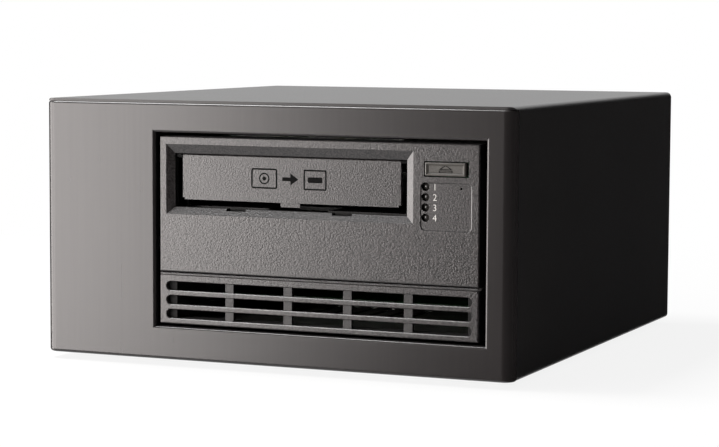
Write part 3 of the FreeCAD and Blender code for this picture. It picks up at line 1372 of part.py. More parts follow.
def head_bridge():
    """Cap plate on the rods, with the lead screw's upper bearing, reaching the side wall."""
    plate = box(head_x - 5.0, wall_right_x, head_y - 10.5, head_y + 10.5, bridge_z, bridge_z + 2.4)
    bore = rod((head_x, head_y, bridge_z - 1), Z, head_screw_radius + pivot_clearance, 5.0)
    return plate.cut(bore)


def head_carriage():
    """Block that rides on both rods and the lead screw and carries the head."""
    block = box(head_x - 4.6, head_x + 4.6, head_y - 9.4, head_y + 9.4, head_low_z, head_high_z)
    block = rounded(block, 1.5, lambda e: along(e, Z))
    bores = [rod((head_x, head_y + s * head_rod_spacing / 2, head_low_z - 1), Z,
                 head_rod_radius + pivot_clearance, 20.0) for s in (-1, 1)]
    bores.append(rod((head_x, head_y, head_low_z - 1), Z, head_screw_radius + pivot_clearance, 20.0))
    return cut(block, bores)


def tape_head():
    """Read and write head: a crowned bar across the tape, fixed to the carriage."""
    x1 = head_x - 4.6
    x0 = tape_line_x + 0.4
    crown = Part.Arc(V(x0 + 0.9, head_y - 4.0, head_low_z), V(x0, head_y, head_low_z),
                     V(x0 + 0.9, head_y + 4.0, head_low_z)).toShape()
    sides = Part.makePolygon([V(x0 + 0.9, head_y + 4.0, head_low_z), V(x1, head_y + 4.0, head_low_z),
                              V(x1, head_y - 4.0, head_low_z), V(x0 + 0.9, head_y - 4.0, head_low_z)])
    outline = Part.Wire([crown] + sides.Edges)
    return Part.Face(outline).extrude(V(0, 0, head_high_z - head_low_z))


# ---------------------------------------------------------------- threader
threader_plate = 1.6
threader_hub = 5.0


def threader_motor():
    """Gear motor hanging from the drive's lid over the take-up reel."""
    z0 = threader_z + threader_plate + 1.0
    z1 = drive_top_z - drive_plate
    body = rod((threader_x, threader_y, z0), Z, 9.0, z1 - z0)
    bore = rod((threader_x, threader_y, z0 - 1), Z, 1.5 + pivot_clearance, 6.0)
    return body.cut(bore)


def threader_arm():
    """Swinging arm with a tapered web, a hub on the motor's shaft and a ring for the grabber."""
    tip_x = threader_x + threader_radius
    hub = rod((threader_x, threader_y, threader_z), Z, threader_hub, threader_plate)
    web = prism([(threader_x, threader_y - 4.0, threader_z), (tip_x, threader_y - 2.2, threader_z),
                 (tip_x, threader_y + 2.2, threader_z), (threader_x, threader_y + 4.0, threader_z)],
                V(0, 0, threader_plate))
    eye = rod((tip_x, threader_y, threader_z), Z, 2.6, threader_plate)
    shaft = rod((threader_x, threader_y, threader_z + threader_plate - 0.2), Z, 1.5, 5.6)
    window = prism([(threader_x + 9.0, threader_y - 2.0, threader_z - 1),
                    (tip_x - 8.0, threader_y - 1.0, threader_z - 1),
                    (tip_x - 8.0, threader_y + 1.0, threader_z - 1),
                    (threader_x + 9.0, threader_y + 2.0, threader_z - 1)], V(0, 0, threader_plate + 2))
    arm = fuse([hub, web, eye, shaft]).cut(window)
    arm.rotate(V(threader_x, threader_y, 0), Z, threader_rest_angle)
    return arm


def pin_grabber():
    """Hook that hangs from the arm's end and takes the tape's leader pin."""
    tip_x = threader_x + threader_radius
    low = tape_mid_z - tape_width / 2
    block = box(tip_x - 2.2, tip_x + 2.2, threader_y - 2.2, threader_y + 2.2, low, threader_z)
    throat = box(tip_x - 1.0, tip_x + 3.0, threader_y - 1.2, threader_y + 3.0, low + 1.6, threader_z - 4.0)
    hook = block.cut(throat)
    hook.rotate(V(threader_x, threader_y, 0), Z, threader_rest_angle)
    return hook


# ---------------------------------------------------------------- write the parts
def write(node, shape):
    """One STEP file per node; a list of solids becomes one group."""
    solid = Part.makeCompound(shape) if isinstance(shape, list) else shape
    solid.exportStep(os.path.join("parts", node + ".step"))
    print(f"{node}: {len(solid.Solids)} solid(s), valid {solid.isValid()}, {solid.Volume / 1000:.2f} cm3")


nodes = {
    "front_panel": front_panel,
    "top_cover": top_cover,
    "base_chassis": base_chassis,
    "rear_panel": rear_panel,
    "rubber_feet": rubber_feet,
    "rear_screws": rear_screws,
    "inner_screws": inner_screws,
    "drive_bracket_left": lambda: drive_bracket(-1),
    "drive_bracket_right": lambda: drive_bracket(1),
    "psu_bracket": psu_bracket,
    "psu_board": psu_board,
    "psu_transformer": psu_transformer,
    "psu_capacitors": psu_capacitors,
    "psu_heatsinks": psu_heatsinks,
    "power_inlet": power_inlet,
    "inlet_blades": inlet_blades,
    "power_switch": power_switch,
    "power_rocker": power_rocker,
    "interface_sockets": interface_sockets,
    "jackscrews": jackscrews,
    "ribbon_cable": ribbon_cable,
    "drive_rear_sockets": drive_rear_sockets,
    "fan_frame": fan_frame,
    "fan_rotor": fan_rotor,
    "fan_guard": fan_guard,
    "drive_chassis": drive_chassis,
    "drive_top_plate": drive_top_plate,
    "drive_bottom_plate": drive_bottom_plate,
    "drive_board": drive_board,
    "drive_bezel": drive_bezel,
    "grille_panel": grille_panel,
    "slot_door": slot_door,
    "door_spring": door_spring,
    "eject_button": eject_button,
    "front_board": front_board,
    "button_switch": button_switch,
    "status_lights": status_lights,
    "cartridge_tray": cartridge_tray,
    "cam_slide": cam_slide,
    "loader_guide": loader_guide,
    "loader_motor": loader_motor,
    "loader_pinion": loader_pinion,
    "supply_motor": supply_motor,
    "supply_clutch": supply_clutch,
    "takeup_motor": takeup_motor,
    "takeup_reel": takeup_reel,
    "roller_posts": roller_posts,
    "head_stepper": head_stepper,
    "head_lead_screw": head_lead_screw,
    "head_rods": head_rods,
    "head_bridge": head_bridge,
    "head_carriage": head_carriage,
    "tape_head": tape_head,
    "threader_motor": threader_motor,
    "threader_arm": threader_arm,
    "pin_grabber": pin_grabber,
}
for number, place in enumerate(roller_places, start=1):
    nodes[f"guide_roller_{number}"] = lambda place=place: guide_roller(place)

os.makedirs("parts", exist_ok=True)
for name, make in nodes.items():
    write(name, make())
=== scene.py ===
"""Looks of an external tape drive: finishes, printing, screws and contacts on the fixed frame."""
import json
import math

import bpy
from mathutils import Matrix, Vector


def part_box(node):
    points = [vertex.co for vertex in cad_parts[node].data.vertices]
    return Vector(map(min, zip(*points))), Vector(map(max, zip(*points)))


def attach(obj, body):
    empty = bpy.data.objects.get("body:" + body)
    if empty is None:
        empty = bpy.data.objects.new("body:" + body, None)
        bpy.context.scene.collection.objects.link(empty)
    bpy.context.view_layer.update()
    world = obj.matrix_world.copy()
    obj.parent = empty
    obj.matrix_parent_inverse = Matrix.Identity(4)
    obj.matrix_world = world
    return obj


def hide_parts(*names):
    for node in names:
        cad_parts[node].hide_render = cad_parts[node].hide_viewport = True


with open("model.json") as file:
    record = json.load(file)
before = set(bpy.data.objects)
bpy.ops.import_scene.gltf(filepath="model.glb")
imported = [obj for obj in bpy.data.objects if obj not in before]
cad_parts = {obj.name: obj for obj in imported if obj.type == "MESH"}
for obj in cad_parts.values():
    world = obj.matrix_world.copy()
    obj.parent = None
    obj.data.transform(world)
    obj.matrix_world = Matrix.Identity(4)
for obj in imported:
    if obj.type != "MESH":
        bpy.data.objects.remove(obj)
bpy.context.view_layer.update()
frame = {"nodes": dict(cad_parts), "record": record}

MM = 0.001
nodes_of = frame["nodes"]


def tone(red, green, blue):
    """Display values from 0 to 255 as a linear colour."""
    def linear(value):
        share = value / 255.0
        return share / 12.92 if share <= 0.04045 else ((share + 0.055) / 1.055) ** 2.4
    return (linear(red), linear(green), linear(blue), 1.0)


# ---------------------------------------------------------------- camera, in metres
camera_place = Vector((0.4160, -0.9936, 0.1505))
camera_turn = math.radians(23.192)
camera_tilt = math.radians(5.044)
camera_roll = math.radians(0.298)
sensor_width = 36.0
focal_length = 113.21
far_clip = 50.0


def add_camera():
    """Long lens to the right of the front, a little above the top."""
    data = bpy.data.cameras.new("camera")
    data.sensor_width = sensor_width
    data.lens = focal_length
    data.clip_end = far_clip
    camera = bpy.data.objects.new("camera", data)
    bpy.context.collection.objects.link(camera)
    turn = Matrix.Rotation(camera_turn, 4, "Z")
    tilt = Matrix.Rotation(math.pi / 2 - camera_tilt, 4, "X")
    roll = Matrix.Rotation(camera_roll, 4, "Z")
    camera.matrix_world = Matrix.Translation(camera_place) @ turn @ tilt @ roll
    bpy.context.scene.camera = camera


# ---------------------------------------------------------------- places and sizes, in millimetres
X, Y, Z = range(3)


def lowest(node, axis):
    """Lowest place of a CAD node along an axis."""
    return round(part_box(node)[0][axis] / MM, 3)


def highest(node, axis):
    """Highest place of a CAD node along an axis."""
    return round(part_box(node)[1][axis] / MM, 3)


def middle(node, axis):
    """Place halfway along a CAD node."""
    return (lowest(node, axis) + highest(node, axis)) / 2


# Case
front_y = lowest("front_panel", Y)
half_width = highest("top_cover", X)
top_z = highest("top_cover", Z)
case_rear_y = highest("top_cover", Y)
rear_face_y = highest("rear_panel", Y)
opening_edge = 1.2              # rounding of the front panel's opening
shade_half_width = half_width - 4.0        # the painted shade stops here; the panel's outer sides beyond it keep their enamel all the way back
base_middle_z = lowest("base_chassis", Z) + 0.5        # inside the thickness of the base sheet

# Bezel and its slot
bezel_y = lowest("drive_bezel", Y)
bezel_right = highest("drive_bezel", X)
bezel_top = highest("drive_bezel", Z)
bezel_wall = 2.4
rim_depth = 0.6                 # part of the bezel's rim that isn't in shade
slot_mid_x = middle("slot_door", X)
slot_mid_z = bezel_top - 18.7
slot_half_width = 58.3          # a hair outside the mouth's edge
slot_half_height = 15.4
frame_mouth_depth = 2.9         # slope of the mouth in the CAD node
mouth_depth = 2.0               # and in the piece that stands for it
rib_shade_y = bezel_y + 1.05    # just in front of the grille's ribs
end_rib_shade_y = bezel_y + 1.85
rib_shade = 0.45
end_rib_shade = 0.40            # added to that of the ribs

# Label field with the lights, button and door
label_span_x = (bezel_right - 26.5, bezel_right - 3.1)
label_span_z = (bezel_top - 36.9, bezel_top - 16.1)
frame_label_depth = 0.5
label_depth = 0.3
label_floor_y = bezel_y + label_depth
light_radius = 1.65
light_top_z = highest("status_lights", Z) - light_radius
light_low_z = lowest("status_lights", Z) + light_radius
light_count = 4
numeral_x = middle("status_lights", X) + 3.2
numeral_height = 2.8
print_thickness = 0.05
button_mid_x = middle("eject_button", X)
button_mid_z = middle("eject_button", Z)
button_floor_y = lowest("eject_button", Y) + 0.9
eject_half_width = 3.0
door_face_y = lowest("slot_door", Y)
door_half_width = 51.7          # plate without its pins
door_mark_x = slot_mid_x - 18.3
door_mark_z = lowest("slot_door", Z) + 12.2
door_mark_line = 0.7

# Rear
lip_middle = 5.3                # from the cover's outside to its rear lip's middle
lip_screw_spacing = 87.0
lip_side_screw_z = 33.0
lip_screw_places = [(side * lip_screw_spacing, top_z - lip_middle) for side in (-1, 0, 1)]
lip_screw_places += [(side * (half_width - lip_middle), lip_side_screw_z) for side in (-1, 1)]
screw_shank = 8.0
screw_head_radius = 2.8
screw_head_height = 1.8
screw_turn_step = 37.0          # degrees from one screw's cross to the next
fan_x = middle("fan_frame", X)
fan_z = middle("fan_frame", Z)
fan_hole_pitch = 50.0
guard_wire = 1.3
guard_rings = (9.65, 17.65, 25.65)
guard_eye = 2.6
inlet_x = middle("power_inlet", X)
inlet_z = middle("power_inlet", Z)
inlet_face_y = highest("power_inlet", Y)
inlet_screw_pitch = 40.0
socket_x = middle("interface_sockets", X)
socket_face_y = highest("interface_sockets", Y)
socket_half_height = 6.3
socket_rows = (lowest("interface_sockets", Z) + socket_half_height,
               highest("interface_sockets", Z) - socket_half_height)
tongue_size = (43.0, 2.6, 1.9)
contact_size = (0.55, 2.2, 0.3)
contact_pitch = 1.24
contacts_in_row = 34
contact_row_offset = 1.05
rocker_axis_y = rear_face_y - 2.0
rocker_z = middle("power_switch", Z)
rocker_tilt = -10.0             # degrees at rest
rocker_half_length = 7.6
rocker_middle = 1.6             # from the axis to where the two faces meet
rocker_rise = 1.6               # of each face from the middle to its end


# ---------------------------------------------------------------- finishes
case_colour = tone(36, 33, 33)
bezel_colour = tone(42, 39, 39)
cover_colour = tone(40, 38, 38)
button_colour = tone(78, 75, 71)
# near black of the painted shade in gaps, recesses and the closed case
shade_black = tone(7, 7, 7)
zinc_colour = tone(172, 172, 168)
white_print = tone(215, 213, 208)
black_print = tone(8, 8, 8)
white = (1.0, 1.0, 1.0, 1.0)
fleck_stops = (0.36, 0.64)      # noise values between which a fleck changes from dark to light
streak_width = 1.6              # millimetres across
streak_squeeze = 0.02           # of the streaks along Z, which makes them long
band_share = (0.05, 0.5)        # where a striped finish changes from gap to band


def new_finish(name):
    """Empty node material and the parts of it that every finish uses."""
    material = bpy.data.materials.new(name)
    material.use_nodes = True
    tree = material.node_tree
    return material, tree.nodes, tree.links, tree.nodes["Principled BSDF"]


def noise(nodes, links, size_mm, detail=2.0, stretch=(1.0, 1.0, 1.0)):
    """Noise on the piece's own coordinates, with a feature size in millimetres."""
    place = nodes.new("ShaderNodeTexCoord")
    mapping = nodes.new("ShaderNodeMapping")
    mapping.inputs["Scale"].default_value = stretch
    links.new(place.outputs["Object"], mapping.inputs["Vector"])
    texture = nodes.new("ShaderNodeTexNoise")
    texture.inputs["Scale"].default_value = 1.0 / (size_mm * MM)
    texture.inputs["Detail"].default_value = detail
    links.new(mapping.outputs["Vector"], texture.inputs["Vector"])
    return texture.outputs["Fac"]


def ramp(nodes, links, factor, low, high, low_stop=0.3, high_stop=0.7):
    """Colours from low to high across part of a factor's range."""
    colours = nodes.new("ShaderNodeValToRGB")
    colours.color_ramp.elements[0].position = low_stop
    colours.color_ramp.elements[0].color = low
    colours.color_ramp.elements[1].position = high_stop
    colours.color_ramp.elements[1].color = high
    links.new(factor, colours.inputs["Fac"])
    return colours.outputs["Color"]


def mapped(nodes, links, value, start, end, low=0.0, high=1.0, how="LINEAR"):
    """Number that goes from low to high while a value goes from start to end."""
    node = nodes.new("ShaderNodeMapRange")
    node.interpolation_type = how
    for name, number in (("From Min", start), ("From Max", end), ("To Min", low), ("To Max", high)):
        node.inputs[name].default_value = number
    links.new(value, node.inputs["Value"])
    return node.outputs["Result"]


def spread(nodes, links, factor, low, high):
    """Noise mapped to a range of plain numbers."""
    return mapped(nodes, links, factor, 0.3, 0.7, low, high)


def add_bump(nodes, links, shader, height, depth_mm, strength=1.0):
    """Fine relief of a given depth."""
    bump = nodes.new("ShaderNodeBump")
    bump.inputs["Strength"].default_value = strength
    bump.inputs["Distance"].default_value = depth_mm * MM
    links.new(height, bump.inputs["Height"])
    links.new(bump.outputs["Normal"], shader.inputs["Normal"])


def shade(colour, factor):
    """Colour made darker or lighter by a factor."""
    return tuple(part * factor for part in colour[:3]) + (1.0,)


def blended(nodes, links, below, above, factor=1.0, how="MIX"):
    """Two colours blended; the factor is a number or another node's output."""
    mix = nodes.new("ShaderNodeMix")
    mix.data_type = "RGBA"
    mix.blend_type = how
    for name, source in (("Factor", factor), ("A", below), ("B", above)):
        if isinstance(source, bpy.types.NodeSocket):
            links.new(source, mix.inputs[name])
        else:
            mix.inputs[name].default_value = source
    return mix.outputs["Result"]


def arithmetic(nodes, links, operation, first, second=0.0):
    """One sum or test on two numbers or outputs."""
    node = nodes.new("ShaderNodeMath")
    node.operation = operation
    for i, source in enumerate((first, second)):
        if isinstance(source, bpy.types.NodeSocket):
            links.new(source, node.inputs[i])
        else:
            node.inputs[i].default_value = source
    return node.outputs["Value"]


def object_axes(nodes, links):
    """X, Y and Z of a point on the piece, each as an output."""
    place = nodes.new("ShaderNodeTexCoord")
    split = nodes.new("ShaderNodeSeparateXYZ")
    links.new(place.outputs["Object"], split.inputs["Vector"])
    return split.outputs["X"], split.outputs["Y"], split.outputs["Z"]


def deeper_than(nodes, links, depth, start_mm, fade_mm=0.2):
    """Share from 0 to 1 as a point lies further than a plane along its axis."""
    return mapped(nodes, links, depth, start_mm * MM, (start_mm + fade_mm) * MM)


def within(nodes, links, value, centre_mm, half_mm):
    """1 where a value is inside a range about a centre, 0 elsewhere."""
    shifted = arithmetic(nodes, links, "SUBTRACT", value, centre_mm * MM)
    distance = arithmetic(nodes, links, "ABSOLUTE", shifted)
    return arithmetic(nodes, links, "LESS_THAN", distance, half_mm * MM)


def panel_inside(nodes, links):
    """Painted shade: near black behind the front panel's painted face and its opening's soft edge, where the
    gap round the bezel lies in shade.
    """
    x, y, _ = object_axes(nodes, links)
    behind = deeper_than(nodes, links, y, front_y + opening_edge + 0.1)
    return arithmetic(nodes, links, "MULTIPLY", behind, within(nodes, links, x, 0.0, shade_half_width))


def bezel_inside(nodes, links):
    """Shaded walls of the bezel: all round its rim, its holes and behind the slot's tapered mouth."""
    x, y, z = object_axes(nodes, links)
    in_slot = arithmetic(nodes, links, "MULTIPLY", within(nodes, links, x, slot_mid_x, slot_half_width),
                         within(nodes, links, z, slot_mid_z, slot_half_height))
    round_slot = arithmetic(nodes, links, "SUBTRACT", 1.0, in_slot)
    rim = arithmetic(nodes, links, "MULTIPLY", deeper_than(nodes, links, y, bezel_y + rim_depth), round_slot)
    return arithmetic(nodes, links, "MAXIMUM", rim, deeper_than(nodes, links, y, bezel_y + mouth_depth, 0.1))


def grille_inside(nodes, links):
    """The ribs behind the bars, and most of all the end ribs, lie in the bars' shade."""
    _, y, _ = object_axes(nodes, links)
    ribs = deeper_than(nodes, links, y, rib_shade_y, 0.1)
    ends = deeper_than(nodes, links, y, end_rib_shade_y, 0.1)
    return arithmetic(nodes, links, "ADD", arithmetic(nodes, links, "MULTIPLY", ribs, rib_shade),
                      arithmetic(nodes, links, "MULTIPLY", ends, end_rib_shade))


def base_inside(nodes, links):
    """Painted shade: the upper side of the base sheet is made near black, as it lies in shade with the case
    closed over it.
    """
    _, _, z = object_axes(nodes, links)
    return deeper_than(nodes, links, z, base_middle_z)


def door_ends(nodes, links):
    """Painted shade: the door's stub pins, beyond its plate, are made near black and dull, as shade in the
    slot's side gaps.
    """
    x, _, _ = object_axes(nodes, links)
    return arithmetic(nodes, links, "SUBTRACT", 1.0, within(nodes, links, x, slot_mid_x, door_half_width))


def grained(name, colour, roughness, grain_mm, depth_mm, mottle=0.06, mottle_mm=25.0, metallic=0.0, ior=1.5,
            stretch=(1.0, 1.0, 1.0), speckle=0.0, streaks=0.0, shade_mask=None, swing=0.07):
    """Moulded, painted or rolled surface: slow mottle, fine grain in relief and in roughness; painted shade
    where a shade mask is given.
    """
    material, nodes, links, shader = new_finish(name)
    slow = noise(nodes, links, mottle_mm, detail=3.0)
    base = ramp(nodes, links, slow, shade(colour, 1.0 - mottle), shade(colour, 1.0 + mottle))
    grain = noise(nodes, links, grain_mm, detail=3.0, stretch=stretch)
    if speckle:
        flecks = ramp(nodes, links, grain, shade(white, 1.0 - speckle), shade(white, 1.0 + speckle),
                      *fleck_stops)
        base = blended(nodes, links, base, flecks, 1.0, "MULTIPLY")
    if streaks:
        lines = noise(nodes, links, streak_width, detail=2.0, stretch=(1.0, 1.0, streak_squeeze))
        bands = ramp(nodes, links, lines, shade(white, 1.0 - streaks), shade(white, 1.0 + streaks))
        base = blended(nodes, links, base, bands, 1.0, "MULTIPLY")
    rough = spread(nodes, links, grain, roughness * (1.0 - swing), roughness * (1.0 + swing))
    # Painted shade: where the mask is 1 the colour turns near black and the roughness goes up to 1, which
    # takes the gloss away.
    if shade_mask:
        in_shade = shade_mask(nodes, links)
        base = blended(nodes, links, base, shade_black, in_shade)
        rough = arithmetic(nodes, links, "MAXIMUM", rough, in_shade)
    links.new(base, shader.inputs["Base Color"])
    links.new(rough, shader.inputs["Roughness"])
    add_bump(nodes, links, shader, grain, depth_mm)
    shader.inputs["Metallic"].default_value = metallic
    shader.inputs["IOR"].default_value = ior
    return material


def striped(name, colour, gap_colour, pitch_mm, axis, roughness=0.5, metallic=0.0):
    """Even parallel bands across one axis, such as a flat cable's cores or stacked laminations."""
    material, nodes, links, shader = new_finish(name)
    place = nodes.new("ShaderNodeTexCoord")
    wave = nodes.new("ShaderNodeTexWave")
    wave.bands_direction = axis
    # At a scale of 1 the bands lie pi / 10 apart.
    wave.inputs["Scale"].default_value = math.pi / (10.0 * pitch_mm * MM)
    links.new(place.outputs["Object"], wave.inputs["Vector"])
    bands = ramp(nodes, links, wave.outputs["Fac"], gap_colour, colour, *band_share)
    links.new(bands, shader.inputs["Base Color"])
    grain = noise(nodes, links, 2.0)
    links.new(spread(nodes, links, grain, roughness * 0.9, roughness * 1.1), shader.inputs["Roughness"])
    add_bump(nodes, links, shader, wave.outputs["Fac"], 0.2)
    shader.inputs["Metallic"].default_value = metallic
    return material


def bezel_grain(name, shade_mask=None):
    """Coarse leathery mould grain of the bezel, the grille and the door, with painted shade where a mask is
    given.
    """
    return grained(name, bezel_colour, roughness=0.30, grain_mm=0.70, depth_mm=0.10, mottle=0.04, speckle=0.9,
                   ior=1.60, shade_mask=shade_mask)


def zinc_sheet(name, shade_mask=None):
    """Galvanised sheet with its faint patches, with painted shade where a mask is given."""
    return grained(name, zinc_colour, roughness=0.38, grain_mm=1.2, depth_mm=0.003, mottle=0.10,
                   mottle_mm=9.0, metallic=1.0, shade_mask=shade_mask)


def make_finishes():
    """One finish for each material slot of the frame."""
    return {
        # the front panel's paint takes painted shade behind its face, from panel_inside
        "panel_paint": grained("case_enamel", case_colour, roughness=0.26, grain_mm=6.0, depth_mm=0.0,
                               mottle=0.05, streaks=0.07, shade_mask=panel_inside, swing=0.0),
        "cover_paint": grained("cover_enamel", cover_colour, roughness=0.38, grain_mm=0.9, depth_mm=0.004,
                               mottle=0.05, speckle=0.10),
        "zinc_sheet": zinc_sheet("zinc_plate"),
        "bezel_plastic": bezel_grain("bezel_grain"),
        "button_plastic": grained("button_satin", button_colour, roughness=0.36, grain_mm=0.4, depth_mm=0.02,
                                  mottle=0.05, speckle=0.2),
        "light_pipe": grained("light_lens", tone(50, 48, 46), roughness=0.14, grain_mm=0.3, depth_mm=0.002,
                              mottle=0.04),
        "foot_rubber": grained("foot_rubber", tone(30, 30, 30), roughness=0.75, grain_mm=0.8, depth_mm=0.03,
                               mottle=0.12),
        "screw_steel": grained("screw_zinc", tone(188, 188, 184), roughness=0.30, grain_mm=0.5,
                               depth_mm=0.002, metallic=1.0),
        "black_plastic": grained("black_nylon", tone(30, 30, 30), roughness=0.48, grain_mm=0.5, depth_mm=0.02,
                                 mottle=0.10),
        "switch_plastic": grained("switch_black", tone(24, 24, 25), roughness=0.25, grain_mm=0.5,
                                  depth_mm=0.003, mottle=0.08),
        "contact_metal": grained("contact_plate", tone(214, 206, 178), roughness=0.25, grain_mm=0.5,
                                 depth_mm=0.002, mottle=0.05, metallic=1.0),
        "cast_metal": grained("die_casting", tone(150, 150, 150), roughness=0.55, grain_mm=0.7, depth_mm=0.05,
                              mottle=0.12, mottle_mm=12.0, metallic=1.0),
        "sheet_aluminium": grained("rolled_aluminium", tone(190, 190, 192), roughness=0.36, grain_mm=0.4,
                                   depth_mm=0.004, mottle=0.05, metallic=1.0, stretch=(1.0, 0.05, 1.0)),
        "board_green": grained("board_resist", tone(30, 84, 48), roughness=0.32, grain_mm=1.6, depth_mm=0.02,
                               mottle=0.15, mottle_mm=6.0, speckle=0.3),
        "board_brown": grained("board_laminate", tone(150, 118, 72), roughness=0.5, grain_mm=0.8,
                               depth_mm=0.01, mottle=0.08),
        "core_iron": striped("core_laminations", tone(66, 62, 60), tone(20, 19, 18), pitch_mm=0.5, axis="Y",
                             roughness=0.45, metallic=0.6),
        "can_sleeve": grained("capacitor_sleeve", tone(28, 32, 52), roughness=0.3, grain_mm=1.0,
                              depth_mm=0.003),
        "ribbon_grey": striped("ribbon_cores", tone(165, 165, 166), tone(110, 110, 112), pitch_mm=0.635,
                               axis="X"),
        "reel_plastic": grained("reel_moulding", tone(196, 196, 190), roughness=0.22, grain_mm=1.0,
                                depth_mm=0.004, mottle=0.04),
        "motor_steel": grained("motor_can", tone(150, 150, 150), roughness=0.32, grain_mm=0.5, depth_mm=0.003,
                               mottle=0.07, metallic=1.0),
        "gear_plastic": grained("acetal", tone(218, 216, 204), roughness=0.4, grain_mm=0.7, depth_mm=0.004,
                                mottle=0.04),
        # Painted shade: the spring wire is near black and dull, so the door spring stays as dark as the shade
        # in the slot's gap.
        "spring_steel": grained("spring_wire", tone(14, 14, 14), roughness=0.9, grain_mm=0.4, depth_mm=0.002,
                                mottle=0.10),
        "connector_shell": grained("nickel_shell", tone(200, 198, 190), roughness=0.24, grain_mm=0.6,
                                   depth_mm=0.002, mottle=0.05, metallic=1.0),
    }


def finish_nodes(finishes):
    """Every piece of the frame gets the finish of its slot."""
    for entry in frame["record"]["subparts"]:
        piece = nodes_of[entry["node"]]
        piece.data.materials.clear()
        piece.data.materials.append(finishes[entry["material_slot"]])


# ---------------------------------------------------------------- modelling helpers
flat_angle = 0.6                # degrees under which neighbouring facets are one face
sharp_angle = 20.0              # degrees from which an edge is rounded and stays crisp


def clear_selection():
    """Nothing selected, so that the next operator acts on its own piece alone."""
    bpy.ops.object.select_all(action="DESELECT")


def pick(piece):
    """The piece alone selected and active."""
    clear_selection()
    piece.select_set(True)
    bpy.context.view_layer.objects.active = piece


def edit(piece, *steps):
    """Runs steps in edit mode on the whole mesh, starting with everything selected."""
    pick(piece)
    bpy.ops.object.mode_set(mode="EDIT")
    bpy.ops.mesh.select_all(action="SELECT")
    for step in steps:
        step()
    bpy.ops.object.mode_set(mode="OBJECT")


def choose_faces(piece, test):
    """Only the faces that the test accepts are selected; leaves the piece in edit mode."""
    pick(piece)
    bpy.ops.object.mode_set(mode="EDIT")
    bpy.ops.mesh.select_mode(type="FACE")
    bpy.ops.mesh.select_all(action="DESELECT")
    bpy.ops.object.mode_set(mode="OBJECT")
    for face in piece.data.polygons:
        face.select = test(face)
    bpy.ops.object.mode_set(mode="EDIT")


def leave_edit():
    """Back to object mode after choose_faces."""
    bpy.ops.object.mode_set(mode="OBJECT")


def apply_modifier(piece, kind, **settings):
    """Adds a modifier with the settings and applies it."""
    pick(piece)
    modifier = piece.modifiers.new(kind.lower(), kind)
    for key, value in settings.items():
        setattr(modifier, key, value)
    bpy.ops.object.modifier_apply(modifier=modifier.name)


def put_place_in_mesh(piece):
    """The object ends at the origin, unturned and unscaled."""
    pick(piece)
    bpy.ops.object.transform_apply(location=True, rotation=True, scale=True)


def join(pieces):
    """One piece from several."""
    clear_selection()
    for piece in pieces:
        piece.select_set(True)
    bpy.context.view_layer.objects.active = pieces[0]
    if len(pieces) > 1:
        bpy.ops.object.join()
    return pieces[0]


def block(size_mm, centre_mm=(0.0, 0.0, 0.0)):
    """Rectangular block about a centre."""
    clear_selection()
    bpy.ops.mesh.primitive_cube_add(size=1.0, scale=Vector(size_mm) * MM, location=Vector(centre_mm) * MM)
    piece = bpy.context.object
    put_place_in_mesh(piece)
    return piece


def step_end(piece, inset_mm, depth_mm):
    """Insets the piece's rear face and draws it out, which leaves a small slope round it."""
    choose_faces(piece, lambda face: face.normal.y > 0.9)
    bpy.ops.mesh.inset(thickness=inset_mm * MM, depth=depth_mm * MM)
    leave_edit()


def face_outwards(piece):
    """All normals point out of the closed mesh."""
    edit(piece, lambda: bpy.ops.mesh.normals_make_consistent(inside=False))


def copy_of(piece, shift_mm, turn=None):
    """A copy with its own mesh, turned about the origin and then moved."""
    twin = piece.copy()
    twin.data = piece.data.copy()
    bpy.context.collection.objects.link(twin)
    place = Matrix.Translation(Vector(shift_mm) * MM)
    twin.data.transform(place @ turn if turn else place)
    return twin


def smooth_by(piece, degrees):
    """Smooth shading that breaks at edges sharper than an angle."""
    pick(piece)
    bpy.ops.object.shade_smooth_by_angle(angle=math.radians(degrees))


def hand_over(piece, name, finish, body="case", replaced=()):
    """Name, finish and body of a finished piece; hides the frame pieces that it stands for."""
    put_place_in_mesh(piece)
    piece.name = name
    piece.data.name = name
    piece.data.materials.clear()
    piece.data.materials.append(finish)
    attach(piece, body)
    if replaced:
        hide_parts(*replaced)


def soften(node, name, edge_mm, finish, body="case", reshape=None):
    """Copy of a frame piece with its sharp edges rounded; it stands for that piece."""
    piece = bpy.data.objects.new(name, nodes_of[node].data.copy())
    bpy.context.collection.objects.link(piece)
    edit(piece, lambda: bpy.ops.mesh.remove_doubles(threshold=0.01 * MM))
    if reshape:
        reshape(piece)
    edit(piece, lambda: bpy.ops.mesh.dissolve_limited(angle_limit=math.radians(flat_angle)))
    apply_modifier(piece, "BEVEL", width=edge_mm * MM, segments=2, limit_method="ANGLE",
                   angle_limit=math.radians(sharp_angle), use_clamp_overlap=True, miter_outer="MITER_SHARP")
    smooth_by(piece, sharp_angle)
    apply_modifier(piece, "WEIGHTED_NORMAL", mode="FACE_AREA", weight=100, keep_sharp=True)
    hand_over(piece, name, finish, body, (node,))


def lighten_recesses(piece):
    """Makes the slot's sloped mouth and the label field shallower, to catch the light from the side."""
    for vertex in piece.data.vertices:
        x, y, z = (value / MM for value in vertex.co)
        depth = y - bezel_y
        in_slot = abs(x - slot_mid_x) < slot_half_width and abs(z - slot_mid_z) < slot_half_height
        on_slope = 0.01 < depth < frame_mouth_depth + 0.05 and abs(depth - bezel_wall) > 0.02
        in_label = (label_span_x[0] < x < label_span_x[1] and label_span_z[0] < z < label_span_z[1])
        if in_slot and on_slope:
            vertex.co.y = (bezel_y + depth * mouth_depth / frame_mouth_depth) * MM
        elif in_label and abs(depth - frame_label_depth) < 0.01:
            vertex.co.y = label_floor_y * MM


# ---------------------------------------------------------------- printing and marks
capital_share = 0.70            # height of a numeral against the font's size
stroke_thinning = 0.04          # millimetres off each side of a stroke


